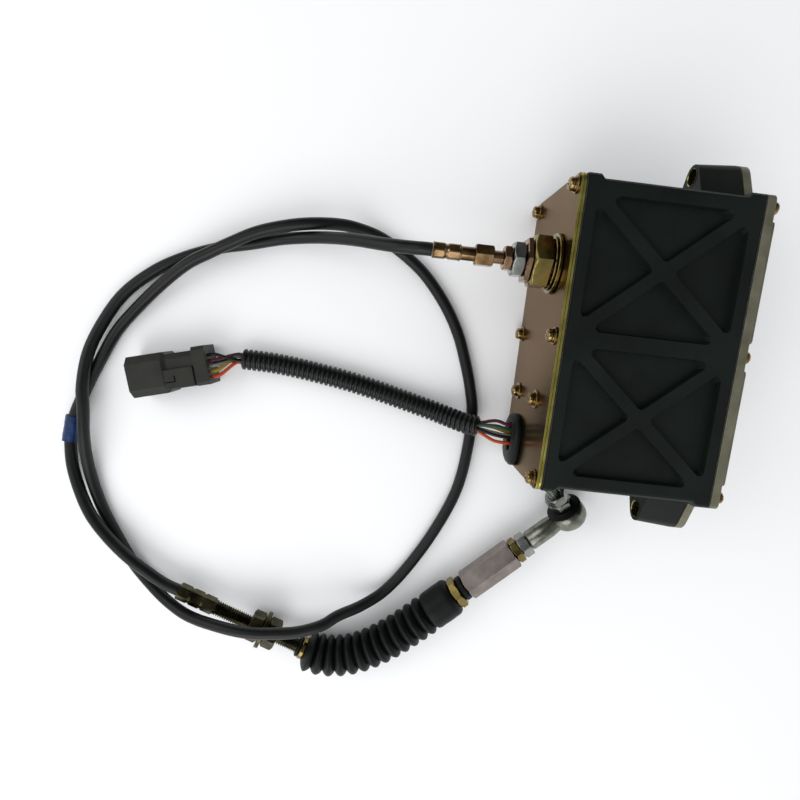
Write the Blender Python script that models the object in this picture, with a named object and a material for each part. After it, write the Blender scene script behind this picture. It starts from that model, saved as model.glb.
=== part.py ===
"""Engine governor actuator with its control cable and wire harness.

A cast housing holds a motor, two gear stages and a rack. The rack pushes and pulls the core of a
control cable, which ends in a ball stud. Metres, +Z up. The origin is the centre of the housing's
base, +X points to the back cover and -X to the end plate, where the cable and the wires leave.
"""

import math

import bmesh
import bpy
from mathutils import Matrix, Vector

# Clearances
GAP = 0.0003
SLIDE_GAP = 0.0004

# Housing
CASE_X = 0.087
CASE_Y = 0.160
CASE_Z = 0.082
CASE_CORNER = 0.003
FLANGE_DEPTH = 0.006
WALL_STEP = 0.0020
WALL = 0.0035
BASE_WALL = 0.0045
LID_SKIN = 0.0035
POCKET_DEPTH = 0.0038
POCKET_FILLET = 0.0022
POCKET_DRAFT = 0.0008
LID_FRAME_X = 0.0052
LID_FRAME_Y = 0.0100
LID_MID_RIB = 0.0080
LID_CROSS_RIB = 0.0062
SCREW_BOSS = 0.0110
SCREW_INSET_Y = 0.0055
SCREW_INSET_Z = 0.0063
SCREW_HOLE_DEPTH = 0.0130

# Mounting lugs
LUG_OFFSET = 0.0130
LUG_HEIGHT = 0.0480
LUG_RADIUS = 0.0085
LUG_LENGTH = 0.0213
LUG_DRAFT = 0.0018
LUG_ROOT = 0.0170
BUSH_RADIUS = 0.0048
BUSH_BORE = 0.0043

# End plate, gaskets and back cover
GASKET = 0.0006
PLATE = 0.0026
PLATE_CORNER = 0.0050
COVER_FLANGE = 0.0044
COVER_RISE = 0.0026
COVER_INSET = 0.0022
COVER_NOTCH = 0.0068

# Screws
SCREW_RADIUS = 0.0019
SCREW_LENGTH = 0.0120
SCREW_HEAD_RADIUS = 0.0034
SCREW_HEAD_HEIGHT = 0.0026
WASHER = 0.0009
SPRING_WASHER = 0.0009
WASHER_RADIUS = 0.0045
WIDE_WASHER_RADIUS = 0.0052
INNER_SCREW_Y = -0.0350
INNER_SCREW_HEIGHTS = (0.0165, 0.0570)
INNER_SCREW_LENGTH = 0.0070

# Cable gland on the end plate
GLAND_Y = 0.0380
GLAND_Z = 0.0560
GLAND_RADIUS = 0.0085
GLAND_BORE = 0.0032
GLAND_INSIDE = 0.0090
GLAND_WASHER_RADIUS = 0.0160
GLAND_WASHER = 0.0018
SHIM_RADIUS = 0.0142
SHIM = 0.0010
STAR_RADIUS = 0.0132
STAR_TEETH = 16
STAR = 0.0008
GLAND_NUT_FLATS = 0.0260
GLAND_NUT = 0.0090
INNER_NUT_FLATS = 0.0210
INNER_NUT = 0.0050
ADAPTER_FLATS = 0.0220
ADAPTER_COLLAR = 0.0030
ADAPTER_THREAD_RADIUS = 0.0035
JAM_NUT_FLATS = 0.0170
JAM_NUT = 0.0062
LOCK_NUT_FLATS = 0.0120
LOCK_NUT = 0.0042
FREE_THREAD = 0.0050
HUB_FLATS = 0.0105
HUB_HEX = 0.0100
NECK_RADIUS = 0.0037
NECK = 0.0072
FERRULE_RADIUS = 0.0044
FERRULE = 0.0150
CORE_RADIUS = 0.0015
CORE_BORE = 0.0020

# Cable and tape
CORD_LEAD = 0.0020
CABLE_RADIUS = 0.00365
CABLE_POINTS = 66
TAPE_THICKNESS = 0.0005
TAPE_CLEARANCE = 0.0004
TAPE_LENGTH = 0.0165
TAPE_PLACE = 0.8930

# Gear train
MODULE_OUT = 0.00125
TEETH_OUT = 48
TEETH_COMPOUND_PINION = 10
MODULE_IN = 0.0010
TEETH_COMPOUND = 32
TEETH_MOTOR = 10
MODULE_RACK = 0.0020
TEETH_RACK_PINION = 12
BACKLASH = 0.00036
OUTPUT_X = 0.0070
COMPOUND_TURN = math.radians(-83.7)
MOTOR_TURN = math.radians(-127.0)
GEAR_WIDTH = 0.0050
LAYER_ONE = 0.0440
LAYER_TWO = 0.0508
SHAFT_RADIUS = 0.0030
BUSHING_RADIUS = 0.0050
MOTOR_RADIUS = 0.0180
MOTOR_LENGTH = 0.0320
MOTOR_BOSS_RADIUS = 0.0060
MOTOR_SHAFT_RADIUS = 0.0016
SENSOR_RADIUS = 0.0120
SENSOR_DEPTH = 0.0130

# Rack
RACK_SECTION_Y = 0.0110
RACK_SECTION_Z = 0.0100
RACK_LENGTH = 0.0400
RACK_REST = -0.0030
CORE_ROD_LENGTH = 0.0440
CORE_ROD_SEAT = 0.0080

# Chassis
CHASSIS = 0.0030
CHASSIS_LEVEL = 0.0400
CHASSIS_FLANGE = 0.0025
CHASSIS_Y = (-0.0450, 0.0640)
CHASSIS_X_END = 0.0400
CHASSIS_FLANGE_Z = (0.0120, 0.0690)
TOP_PLATE = 0.0025
TOP_PLATE_LEVEL = 0.0650
POST_RADIUS = 0.0035
POST_PLACES = ((-0.0270, -0.0020), (0.0350, -0.0130), (0.0070, 0.0590))
GUIDE_WALL = 0.0020
GUIDE_BACK = 0.0040

# Far end of the cable
FAR_HUB_START = Vector((-0.2483, -0.1890, 0.0129))
FAR_HUB_TURN = math.radians(-20.7)
SWAGE_FLATS = 0.0096
SWAGE = 0.0252
FAR_THREAD_RADIUS = 0.0049
HUB_LENGTH = 0.0850
HUB_NUT_FLATS = 0.0170
HUB_NUT = 0.0085
HUB_NUT_START = 0.0505
HUB_WASHER_RADIUS = 0.0119
HUB_WASHER = 0.0026
HUB_SEAL_RADIUS = 0.0066
HUB_SEAL = 0.0022
HUB_RING_RADIUS = 0.0071
HUB_RING = 0.0026

# Sliding rod: stations are measured back from the centre of the eye
EYE_CENTRE = Vector((-0.0038, -0.1108, 0.0131))
ROD_TURN = math.radians(43.2)
EYE_RADIUS = 0.0115
EYE_BACK = 0.0068
EYE_FRONT = 0.0050
BALL_RADIUS = 0.0070
SHANK_RADIUS = 0.0064
SHANK_END = 0.0310
ROD_JAM_FLATS = 0.0142
ROD_JAM = 0.0065
BARREL_NUT_FLATS = 0.0148
BARREL_NUT = 0.0048
BARREL_FLATS = 0.0172
BARREL = 0.0378
BARREL_SEAL_RADIUS = 0.0082
BARREL_SEAL = 0.0040
BOOT_RING_FLATS = 0.0182
BOOT_RING = 0.0050
CUFF_RADIUS = 0.0124
CUFF = 0.0212
BELLOWS_FOLDS = 13
BELLOWS_CREST = 0.0128
BELLOWS_ROOT = 0.0098
BELLOWS_WALL = 0.0013
BELLOWS_SEGMENTS = 16

# Ball stud
STUD_RISE = math.radians(16.0)
STUD_NECK = 0.0038
STUD_HEX_FLATS = 0.0130
STUD_HEX_START = 0.0080
STUD_HEX = 0.0048
STUD_THREAD_RADIUS = 0.0037
STUD_END = 0.0270
STUD_NUT = 0.0058
BOOT_RADIUS = 0.0111
BOOT_WALL = 0.0012

# Harness
GROMMET_Y = -0.0645
GROMMET_Z = 0.0223
GROMMET_SIZE = (0.0310, 0.0325)
GROMMET_FILLET = 0.0120
GROMMET_FLANGE = 0.0036
GROMMET_NECK_Y = -0.0625
GROMMET_NECK_Z = 0.0242
GROMMET_NECK = (0.0220, 0.0240)
GROMMET_NECK_FILLET = 0.0070
GROMMET_LIP = 0.0009
GROMMET_SLOT = (0.0180, 0.0084)
BUNDLE_RADIUS = 0.0034
CONDUIT_RADIUS = 0.0065
CONNECTOR_PLACE = Vector((-0.2375, -0.0407, 0.0124))
CONNECTOR_TURN = math.radians(195.3)
CONNECTOR_LENGTH = 0.0480
HOOD_LENGTH = 0.0215
COLLAR_LENGTH = 0.0080
COLLAR_ASIDE = 0.0008
HOOD_SIZE = (0.0250, 0.0240)
REAR_SIZE = (0.0216, 0.0200)
PIN_RADIUS = 0.0008

# Turned and bevelled pieces
ROUND = 16
FINE = 18
COARSE = 10

PLATE_INNER = -CASE_X / 2 - 2 * GAP - GASKET
PLATE_OUTER = PLATE_INNER - PLATE
COVER_INNER = CASE_X / 2 + 2 * GAP + GASKET
COVER_OUTER = COVER_INNER + COVER_FLANGE
RACK_FRONT = GLAND_Y + RACK_SECTION_Y / 2
RACK_PITCH_LINE = RACK_FRONT - RACK_SECTION_Y + MODULE_RACK
OUTPUT_Y = RACK_PITCH_LINE - MODULE_RACK * TEETH_RACK_PINION / 2
COMPOUND_REACH = MODULE_OUT * (TEETH_OUT + TEETH_COMPOUND_PINION) / 2
COMPOUND_X = OUTPUT_X + COMPOUND_REACH * math.cos(COMPOUND_TURN)
COMPOUND_Y = OUTPUT_Y + COMPOUND_REACH * math.sin(COMPOUND_TURN)
MOTOR_REACH = MODULE_IN * (TEETH_COMPOUND + TEETH_MOTOR) / 2
MOTOR_X = COMPOUND_X + MOTOR_REACH * math.cos(MOTOR_TURN)
MOTOR_Y = COMPOUND_Y + MOTOR_REACH * math.sin(MOTOR_TURN)
CHASSIS_TOP = CHASSIS_LEVEL + CHASSIS

# The plane of the end faces: the outline's first axis is Y, its second Z, and it is extruded along X.
END_FACE = Matrix(((0, 0, 1, 0), (1, 0, 0, 0), (0, 1, 0, 0), (0, 0, 0, 1)))


def finish(obj, colour, roughness, metallic):
    """Give the object its own material."""
    made = bpy.data.materials.new(obj.name)
    made.use_nodes = True
    shader = made.node_tree.nodes["Principled BSDF"]
    shader.inputs["Base Color"].default_value = (*colour, 1.0)
    shader.inputs["Roughness"].default_value = roughness
    shader.inputs["Metallic"].default_value = metallic
    made.diffuse_color = (*colour, 1.0)
    obj.data.materials.append(made)


def merge(shape, other):
    """Add one solid to a shape, with its faces pointing out."""
    bmesh.ops.recalc_face_normals(other, faces=other.faces)
    if other.calc_volume(signed=True) < 0:
        bmesh.ops.reverse_faces(other, faces=other.faces)
    mesh = bpy.data.meshes.new("merge")
    other.to_mesh(mesh)
    other.free()
    shape.from_mesh(mesh)
    bpy.data.meshes.remove(mesh)


def add_piece(name, shape, look, parent=None, turn=None):
    """Turn a bmesh into a named object, shaded smooth below 35 degrees."""
    if turn is not None:
        shape.transform(turn)
    mesh = bpy.data.meshes.new(name)
    shape.to_mesh(mesh)
    shape.free()
    mesh.shade_smooth()
    mesh.set_sharp_from_angle(angle=math.radians(35))
    obj = bpy.data.objects.new(name, mesh)
    bpy.context.collection.objects.link(obj)
    finish(obj, *look)
    if parent is not None:
        obj.parent = parent
    return obj


def add_tool(name, shape, turn=None):
    """A cutter: it shapes another piece and is no piece itself."""
    if turn is not None:
        shape.transform(turn)
    mesh = bpy.data.meshes.new(name)
    shape.to_mesh(mesh)
    shape.free()
    obj = bpy.data.objects.new(name, mesh)
    bpy.context.collection.objects.link(obj)
    obj.hide_render = True
    obj.display_type = "WIRE"
    return obj


def join_or_cut(target, tool, operation):
    """Add a live Boolean modifier."""
    step = target.modifiers.new(tool.name, "BOOLEAN")
    step.object = tool
    step.operation = operation
    step.solver = "EXACT"


def axis_empty(name, place, matrix):
    """An empty that carries the pieces on one axis."""
    empty = bpy.data.objects.new(name, None)
    empty.empty_display_size = 0.01
    empty.matrix_world = Matrix.Translation(place) @ matrix.to_4x4()
    bpy.context.collection.objects.link(empty)
    return empty


def circle(radius, count, centre=(0.0, 0.0), phase=0.0):
    """Points of a circle, counter-clockwise."""
    steps = [phase + 2 * math.pi * k / count for k in range(count)]
    return [(centre[0] + radius * math.cos(a), centre[1] + radius * math.sin(a)) for a in steps]


def rounded(corners, radius, steps=3):
    """A counter-clockwise polygon with each corner replaced by an arc."""
    outline = []
    count = len(corners)
    radii = radius if isinstance(radius, (list, tuple)) else [radius] * count
    for k in range(count):
        here = Vector(corners[k])
        back = (Vector(corners[k - 1]) - here).normalized()
        ahead = (Vector(corners[(k + 1) % count]) - here).normalized()
        if radii[k] == 0:
            outline.append(tuple(here))
            continue
        half = back.angle(ahead) / 2
        middle = here + (back + ahead).normalized() * radii[k] / math.sin(half)
        start = here + back * radii[k] / math.tan(half) - middle
        end = here + ahead * radii[k] / math.tan(half) - middle
        sweep = start.angle_signed(end)
        for j in range(steps + 1):
            turned_by = Matrix.Rotation(-sweep * j / steps, 2) @ start
            outline.append(tuple(middle + turned_by))
    return outline


def box_corners(half_u, half_v, centre=(0.0, 0.0)):
    """Corners of a rectangle, counter-clockwise."""
    signs = ((-1, -1), (1, -1), (1, 1), (-1, 1))
    return [(centre[0] + a * half_u, centre[1] + b * half_v) for a, b in signs]


def slab(shape, outline, low, high, holes=()):
    """Extrude a flat outline with holes from one level to another."""
    solid = bmesh.new()
    edges = []
    for loop in (outline, *holes):
        corners = [solid.verts.new((u, v, low)) for u, v in loop]
        for k, corner in enumerate(corners):
            edges.append(solid.edges.new((corner, corners[(k + 1) % len(corners)])))
    filled = bmesh.ops.triangle_fill(solid, use_beauty=True, edges=edges)
    faces = [item for item in filled["geom"] if isinstance(item, bmesh.types.BMFace)]
    raised = bmesh.ops.extrude_face_region(solid, geom=faces)
    tops = [item for item in raised["geom"] if isinstance(item, bmesh.types.BMVert)]
    bmesh.ops.translate(solid, verts=tops, vec=(0, 0, high - low))
    merge(shape, solid)


def loft(shape, rings, closed=False):
    """Bridge rings of equal length; closed joins the last to the first, otherwise both ends are capped."""
    solid = bmesh.new()
    rows = [[solid.verts.new(point) for point in ring] for ring in rings]
    count = len(rows[0])
    pairs = list(zip(rows, rows[1:]))
    if closed:
        pairs.append((rows[-1], rows[0]))
    for lower, upper in pairs:
        for k in range(count):
            n = (k + 1) % count
            solid.faces.new((lower[k], lower[n], upper[n], upper[k]))
    if not closed:
        solid.faces.new(rows[0])
        solid.faces.new(list(reversed(rows[-1])))
    merge(shape, solid)


def turned(shape, profile, segments, closed=False):
    """Spin a profile of (radius, height) points about Z; an open profile starts and ends on the axis."""
    solid = bmesh.new()
    corners = [solid.verts.new((radius, 0, height)) for radius, height in profile]
    links = [solid.edges.new(pair) for pair in zip(corners, corners[1:])]
    if closed:
        links.append(solid.edges.new((corners[-1], corners[0])))
    bmesh.ops.spin(
        solid,
        geom=corners + links,
        cent=(0, 0, 0),
        axis=(0, 0, 1),
        angle=2 * math.pi,
        steps=segments,
        use_merge=True,
    )
    bmesh.ops.remove_doubles(solid, verts=solid.verts, dist=0.00001)
    merge(shape, solid)


def ring(shape, inner, outer, low, high, segments=ROUND):
    """A plain washer or tube."""
    turned(shape, [(inner, low), (outer, low), (outer, high), (inner, high)], segments, closed=True)


def hex_station(height, flats, reach=1.0):
    """Twelve points of a hexagon, corners and flat middles; reach below 1 draws the corners in."""
    middle = flats / 2
    corner = middle / math.cos(math.pi / 6)
    inner = middle * reach
    points = []
    for k in range(12):
        radius = corner if k % 2 == 0 else middle
        radius = min(radius, inner) if reach < 1 else radius
        angle = math.pi * k / 6
        points.append((radius * math.cos(angle), radius * math.sin(angle), height))
    return points


def round_station(height, radius):
    """Twelve points of a circle, to loft against a hexagon."""
    return [(u, v, height) for u, v in circle(radius, 12)]


def hex_nut(shape, flats, bore, low, high, chamfer=0.08):
    """A hexagon nut with chamfered corners at both faces."""
    cut = flats * chamfer
    rings = [
        round_station(low, bore),
        hex_station(low, flats, 0.95),
        hex_station(low + cut, flats),
        hex_station(high - cut, flats),
        hex_station(high, flats, 0.95),
        round_station(high, bore),
    ]
    loft(shape, rings, closed=True)


def involute_half_angle(teeth, module, radius):
    """Half the angle of a tooth at a radius, for a pressure angle of 20 degrees."""
    pressure = math.radians(20)
    pitch_radius = module * teeth / 2
    base = pitch_radius * math.cos(pressure)
    at_pitch = math.pi / (2 * teeth) - BACKLASH / 2 / pitch_radius
    slope = math.acos(min(1.0, base / max(radius, base)))
    return at_pitch + (math.tan(pressure) - pressure) - (math.tan(slope) - slope)


def gear_outline(teeth, module, phase, middle=True):
    """Outline of a spur gear; the first tooth points along the phase angle."""
    pitch_radius = module * teeth / 2
    root = pitch_radius - 1.30 * module
    tip = pitch_radius + 0.92 * module
    radii = [root, pitch_radius, tip] if middle else [root, tip]
    outline = []
    for k in range(teeth):
        centre = phase + 2 * math.pi * k / teeth
        half = [involute_half_angle(teeth, module, radius) for radius in radii]
        for radius, width in zip(radii, half):
            outline.append((radius * math.cos(centre - width), radius * math.sin(centre - width)))
        for radius, width in zip(reversed(radii), reversed(half)):
            outline.append((radius * math.cos(centre + width), radius * math.sin(centre + width)))
    return outline


def meshed_phase(phase, teeth, direction, other_teeth):
    """Phase of a gear that meshes with one of the given phase, whose centre lies in this direction."""
    share = (direction - phase) / (2 * math.pi / teeth) % 1.0
    return direction + math.pi + (share - 0.5) * 2 * math.pi / other_teeth


def at(points, centre):
    """Move outline points to a centre."""
    return [(u + centre[0], v + centre[1]) for u, v in points]


def smooth_route(points, samples):
    """Even points along a smooth curve through the route, as the eye of a cord needs."""
    dense = []
    count = len(points)
    for k in range(count - 1):
        before = points[max(k - 1, 0)]
        start, end = points[k], points[k + 1]
        after = points[min(k + 2, count - 1)]
        reach = (end - start).length
        leave = (end - before).normalized() * reach if k else (end - start)
        arrive = (after - start).normalized() * reach if k < count - 2 else (end - start)
        for j in range(24):
            t = j / 24
            dense.append(
                start * (2 * t**3 - 3 * t**2 + 1)
                + leave * (t**3 - 2 * t**2 + t)
                + end * (3 * t**2 - 2 * t**3)
                + arrive * (t**3 - t**2)
            )
    dense.append(points[-1])
    travelled = [0.0]
    for a, b in zip(dense, dense[1:]):
        travelled.append(travelled[-1] + (b - a).length)
    even = []
    k = 0
    for j in range(samples):
        wanted = travelled[-1] * j / (samples - 1)
        while k < len(travelled) - 2 and travelled[k + 1] < wanted:
            k += 1
        span = travelled[k + 1] - travelled[k]
        even.append(dense[k].lerp(dense[k + 1], min(1.0, (wanted - travelled[k]) / span)))
    return even


def add_cord(name, routes, radius, samples, sides, look):
    """One object of round tubes, each on its own smooth route."""
    curve = bpy.data.curves.new(name, "CURVE")
    curve.dimensions = "3D"
    curve.bevel_depth = radius
    curve.bevel_resolution = sides
    curve.use_fill_caps = True
    for route in routes:
        spline = curve.splines.new("POLY")
        route = [Vector(point) for point in route]
        places = smooth_route(route, samples - 2)
        places.insert(1, places[0] + (route[1] - route[0]).normalized() * CORD_LEAD)
        places.insert(-1, places[-1] + (route[-2] - route[-1]).normalized() * CORD_LEAD)
        spline.points.add(len(places) - 1)
        for point, place in zip(spline.points, places):
            point.co = (*place, 1.0)
    obj = bpy.data.objects.new(name, curve)
    bpy.context.collection.objects.link(obj)
    finish(obj, *look)
    return obj


BLACK_CAST = ((0.012, 0.014, 0.013), 0.55, 0.1)
TAN_CAST = ((0.20, 0.19, 0.12), 0.50, 0.6)
YELLOW_ZINC = ((0.32, 0.20, 0.08), 0.35, 0.9)
BRIGHT_ZINC = ((0.55, 0.56, 0.56), 0.30, 0.95)
DULL_STEEL = ((0.30, 0.30, 0.29), 0.40, 0.9)
OLIVE_ZINC = ((0.14, 0.13, 0.07), 0.40, 0.8)
RUBBER = ((0.015, 0.016, 0.016), 0.75, 0.0)
ALUMINIUM = ((0.42, 0.40, 0.40), 0.55, 0.6)
BRASS = ((0.36, 0.24, 0.08), 0.35, 0.9)
CONNECTOR_PLASTIC = ((0.05, 0.05, 0.045), 0.60, 0.0)
GEAR_PLASTIC = ((0.70, 0.68, 0.60), 0.50, 0.0)
BLUE_TAPE = ((0.02, 0.08, 0.30), 0.45, 0.0)
GASKET_BLACK = ((0.02, 0.02, 0.02), 0.80, 0.0)


def lug_outline(radius, side, centre_shift=0.0):
    """Outline of a lug in the end-face plane: a root on the wall that narrows to a round tip."""
    wall_y = CASE_Y / 2 - WALL_STEP - 0.0015
    centre_y = CASE_Y / 2 + LUG_OFFSET
    run = centre_y - wall_y
    root = LUG_ROOT - centre_shift
    span = math.hypot(run, root)
    lean = math.atan2(root, run)
    tangent = lean + math.asin(-radius / span)
    start = math.pi / 2 + tangent * -1
    points = [(wall_y, LUG_HEIGHT - root)]
    steps = 7
    for j in range(steps + 1):
        angle = -start + 2 * start * j / steps
        points.append((centre_y + radius * math.cos(angle), LUG_HEIGHT + radius * math.sin(angle)))
    points.append((wall_y, LUG_HEIGHT + root))
    if side < 0:
        points = [(-y, z) for y, z in reversed(points)]
    return points


def screw_places():
    """The six screw places (y, z) that the end plate and the back cover share."""
    reach_y = CASE_Y / 2 - SCREW_INSET_Y
    return [(y, z) for z in (SCREW_INSET_Z, CASE_Z - SCREW_INSET_Z) for y in (-reach_y, 0.0, reach_y)]


def plate_screw_places():
    """The end plate leaves out the lower corner that the grommet covers."""
    return [(y, z) for y, z in screw_places() if not (y < -0.01 and z < CASE_Z / 2)]


def cavity_outline():
    """Inside of the housing in the end-face plane, with solid corners and middles for the screws."""
    side = CASE_Y / 2 - WALL_STEP - WALL
    low = BASE_WALL
    high = CASE_Z - POCKET_DEPTH - LID_SKIN
    corner_y = CASE_Y / 2 - SCREW_BOSS
    corner_low = SCREW_BOSS
    corner_high = CASE_Z - SCREW_BOSS
    half = SCREW_BOSS / 2
    lower = [(-side, corner_low), (-corner_y, corner_low), (-corner_y, low), (-half, low), (-half, corner_low)]
    lower += [(half, corner_low), (half, low), (corner_y, low), (corner_y, corner_low), (side, corner_low)]
    upper = [(side, corner_high), (corner_y, corner_high), (corner_y, high), (half, high), (half, corner_high)]
    upper += [(-half, corner_high), (-half, high), (-corner_y, high), (-corner_y, corner_high)]
    upper += [(-side, corner_high)]
    return lower + upper


def pocket_outlines():
    """The eight triangular pockets of the lid: two crossed ribs in each half."""
    reach_x = CASE_X / 2 - LID_FRAME_X
    near = LID_MID_RIB / 2
    far = CASE_Y / 2 - LID_FRAME_Y
    middle = (near + far) / 2
    slope = math.atan2(far - near, 2 * reach_x)
    side_gap = LID_CROSS_RIB / 2 / math.sin(slope)
    end_gap = LID_CROSS_RIB / 2 / math.cos(slope)
    triangles = []
    for half in (1, -1):
        centre = half * middle
        for sign in (1, -1):
            base_y = centre + sign * (far - near) / 2
            wide = reach_x - side_gap
            triangles.append([(-wide, base_y), (wide, base_y), (0.0, centre + sign * end_gap)])
            base_x = sign * reach_x
            tall = (far - near) / 2 - end_gap
            triangles.append([(base_x, centre - tall), (base_x, centre + tall), (sign * side_gap, centre)])
    ordered = []
    for corners in triangles:
        (ax, ay), (bx, by), (cx, cy) = corners
        turn = (bx - ax) * (cy - ay) - (by - ay) * (cx - ax)
        ordered.append(corners if turn > 0 else list(reversed(corners)))
    return ordered


def shrink(corners, distance):
    """Move a triangle's sides inwards."""
    centre = sum((Vector(c) for c in corners), Vector((0, 0))) / 3
    area = abs((Vector(corners[1]) - Vector(corners[0])).cross(Vector(corners[2]) - Vector(corners[0])))
    around = sum((Vector(corners[k]) - Vector(corners[k - 1])).length for k in range(3))
    inradius = area / around
    a = (Vector(corners[1]) - Vector(corners[2])).length
    b = (Vector(corners[2]) - Vector(corners[0])).length
    c = (Vector(corners[0]) - Vector(corners[1])).length
    centre = (Vector(corners[0]) * a + Vector(corners[1]) * b + Vector(corners[2]) * c) / (a + b + c)
    share = 1 - distance / inradius
    return [tuple(centre + (Vector(corner) - centre) * share) for corner in corners]


def add_housing():
    """Cast box, open at both ends, with end flanges, a ribbed lid and two mounting lugs."""
    shape = bmesh.new()
    half = CASE_X / 2
    stations = []
    for x, step in (
        (-half, 0.0),
        (-half + FLANGE_DEPTH, 0.0),
        (-half + FLANGE_DEPTH + WALL_STEP, WALL_STEP),
        (half - FLANGE_DEPTH - WALL_STEP, WALL_STEP),
        (half - FLANGE_DEPTH, 0.0),
        (half, 0.0),
    ):
        corners = box_corners(CASE_Y / 2 - step, CASE_Z / 2, (0.0, CASE_Z / 2))
        stations.append([(x, y, z) for y, z in rounded(corners, CASE_CORNER, 3)])
    loft(shape, stations)
    housing = add_piece("housing", shape, BLACK_CAST)

    lugs = bmesh.new()
    for side in (1, -1):
        small = lug_outline(LUG_RADIUS - LUG_DRAFT, side, LUG_DRAFT)
        large = lug_outline(LUG_RADIUS, side)
        loft(lugs, [[(half - LUG_LENGTH, y, z) for y, z in small], [(half, y, z) for y, z in large]])
    join_or_cut(housing, add_tool("housing_lugs", lugs), "UNION")

    cavity = bmesh.new()
    slab(cavity, cavity_outline(), -half - 0.002, half + 0.002)
    join_or_cut(housing, add_tool("housing_cavity", cavity, END_FACE), "DIFFERENCE")

    pockets = bmesh.new()
    floor = CASE_Z - POCKET_DEPTH
    for corners in pocket_outlines():
        small = rounded(shrink(corners, POCKET_DRAFT), POCKET_FILLET, 2)
        large = rounded(corners, POCKET_FILLET, 2)
        over = rounded(shrink(corners, -POCKET_DRAFT / 2), POCKET_FILLET, 2)
        rows = [(small, floor), (large, CASE_Z), (over, CASE_Z + 0.001)]
        loft(pockets, [[(x, y, z) for x, y in row] for row, z in rows])
    join_or_cut(housing, add_tool("lid_pockets", pockets), "DIFFERENCE")

    holes = bmesh.new()
    for place in plate_screw_places():
        outline = circle(SCREW_RADIUS + GAP, 8, place)
        slab(holes, outline, -half - 0.001, -half + SCREW_HOLE_DEPTH)
    for place in screw_places():
        outline = circle(SCREW_RADIUS + GAP, 8, place)
        slab(holes, outline, half - SCREW_HOLE_DEPTH, half + 0.001)
    for side in (1, -1):
        centre = (side * (CASE_Y / 2 + LUG_OFFSET), LUG_HEIGHT)
        slab(holes, circle(BUSH_RADIUS + GAP, 16, centre), half - LUG_LENGTH - 0.001, half + 0.001)
    join_or_cut(housing, add_tool("housing_holes", holes, END_FACE), "DIFFERENCE")
    return housing


def add_lug_bushes():
    """Steel bushes in the two lugs."""
    half = CASE_X / 2
    for name, side in (("lug_bush_upper", 1), ("lug_bush_lower", -1)):
        shape = bmesh.new()
        centre = (side * (CASE_Y / 2 + LUG_OFFSET), LUG_HEIGHT)
        outer = circle(BUSH_RADIUS, 16, centre)
        slab(shape, outer, half - LUG_LENGTH - GAP, half - GAP, [circle(BUSH_BORE, 16, centre)])
        add_piece(name, shape, BRIGHT_ZINC, turn=END_FACE)


def add_end_plate():
    """Steel plate that closes the left end and carries the gland and the grommet, with its screws."""
    shape = bmesh.new()
    outline = rounded(box_corners(CASE_Y / 2, CASE_Z / 2, (0, CASE_Z / 2)), PLATE_CORNER, 4)
    holes = [circle(GLAND_RADIUS + GAP, ROUND, (GLAND_Y, GLAND_Z))]
    holes.append(neck_outline(0.0))
    slab(shape, outline, PLATE_OUTER, PLATE_INNER, holes)
    plate = add_piece("end_plate", shape, YELLOW_ZINC, turn=END_FACE)
    inner = [(INNER_SCREW_Y, z) for z in INNER_SCREW_HEIGHTS]
    screws = bmesh.new()
    add_screws(screws, plate_screw_places(), PLATE_OUTER, -1, WASHER_RADIUS, PLATE + SCREW_LENGTH)
    add_screws(screws, inner, PLATE_OUTER, -1, WIDE_WASHER_RADIUS, PLATE + INNER_SCREW_LENGTH)
    join_or_cut(plate, add_tool("plate_screws", screws), "UNION")


def add_gasket(name, low, corner, places):
    """Flat gasket with the outline of the end face and the cavity's opening."""
    shape = bmesh.new()
    outline = rounded(box_corners(CASE_Y / 2, CASE_Z / 2, (0, CASE_Z / 2)), corner, 3)
    holes = [circle(SCREW_RADIUS + GAP, 8, place) for place in places]
    slab(shape, outline, low, low + GASKET, [cavity_outline(), *holes])
    add_piece(name, shape, GASKET_BLACK, turn=END_FACE)


def cover_outline():
    """Outline of the back cover: the end face with an ear behind each lug."""
    half_y = CASE_Y / 2
    right = [point for point in lug_outline(LUG_RADIUS, 1)]
    left = [point for point in lug_outline(LUG_RADIUS, -1)]
    lean = (right[1][1] - right[0][1]) / (right[1][0] - right[0][0])
    reach = right[0][1] + lean * (half_y - right[0][0])
    upper = 2 * LUG_HEIGHT - reach
    low_left = rounded(box_corners(half_y, CASE_Z / 2, (0, CASE_Z / 2)), CASE_CORNER, 3)
    arcs = [low_left[k * 4 : k * 4 + 4] for k in range(4)]
    points = arcs[0] + arcs[1] + [(half_y, reach)] + right[1:-1] + [(half_y, upper)]
    points += arcs[2] + arcs[3] + [(-half_y, upper)] + left[1:-1] + [(-half_y, reach)]
    return points


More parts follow.
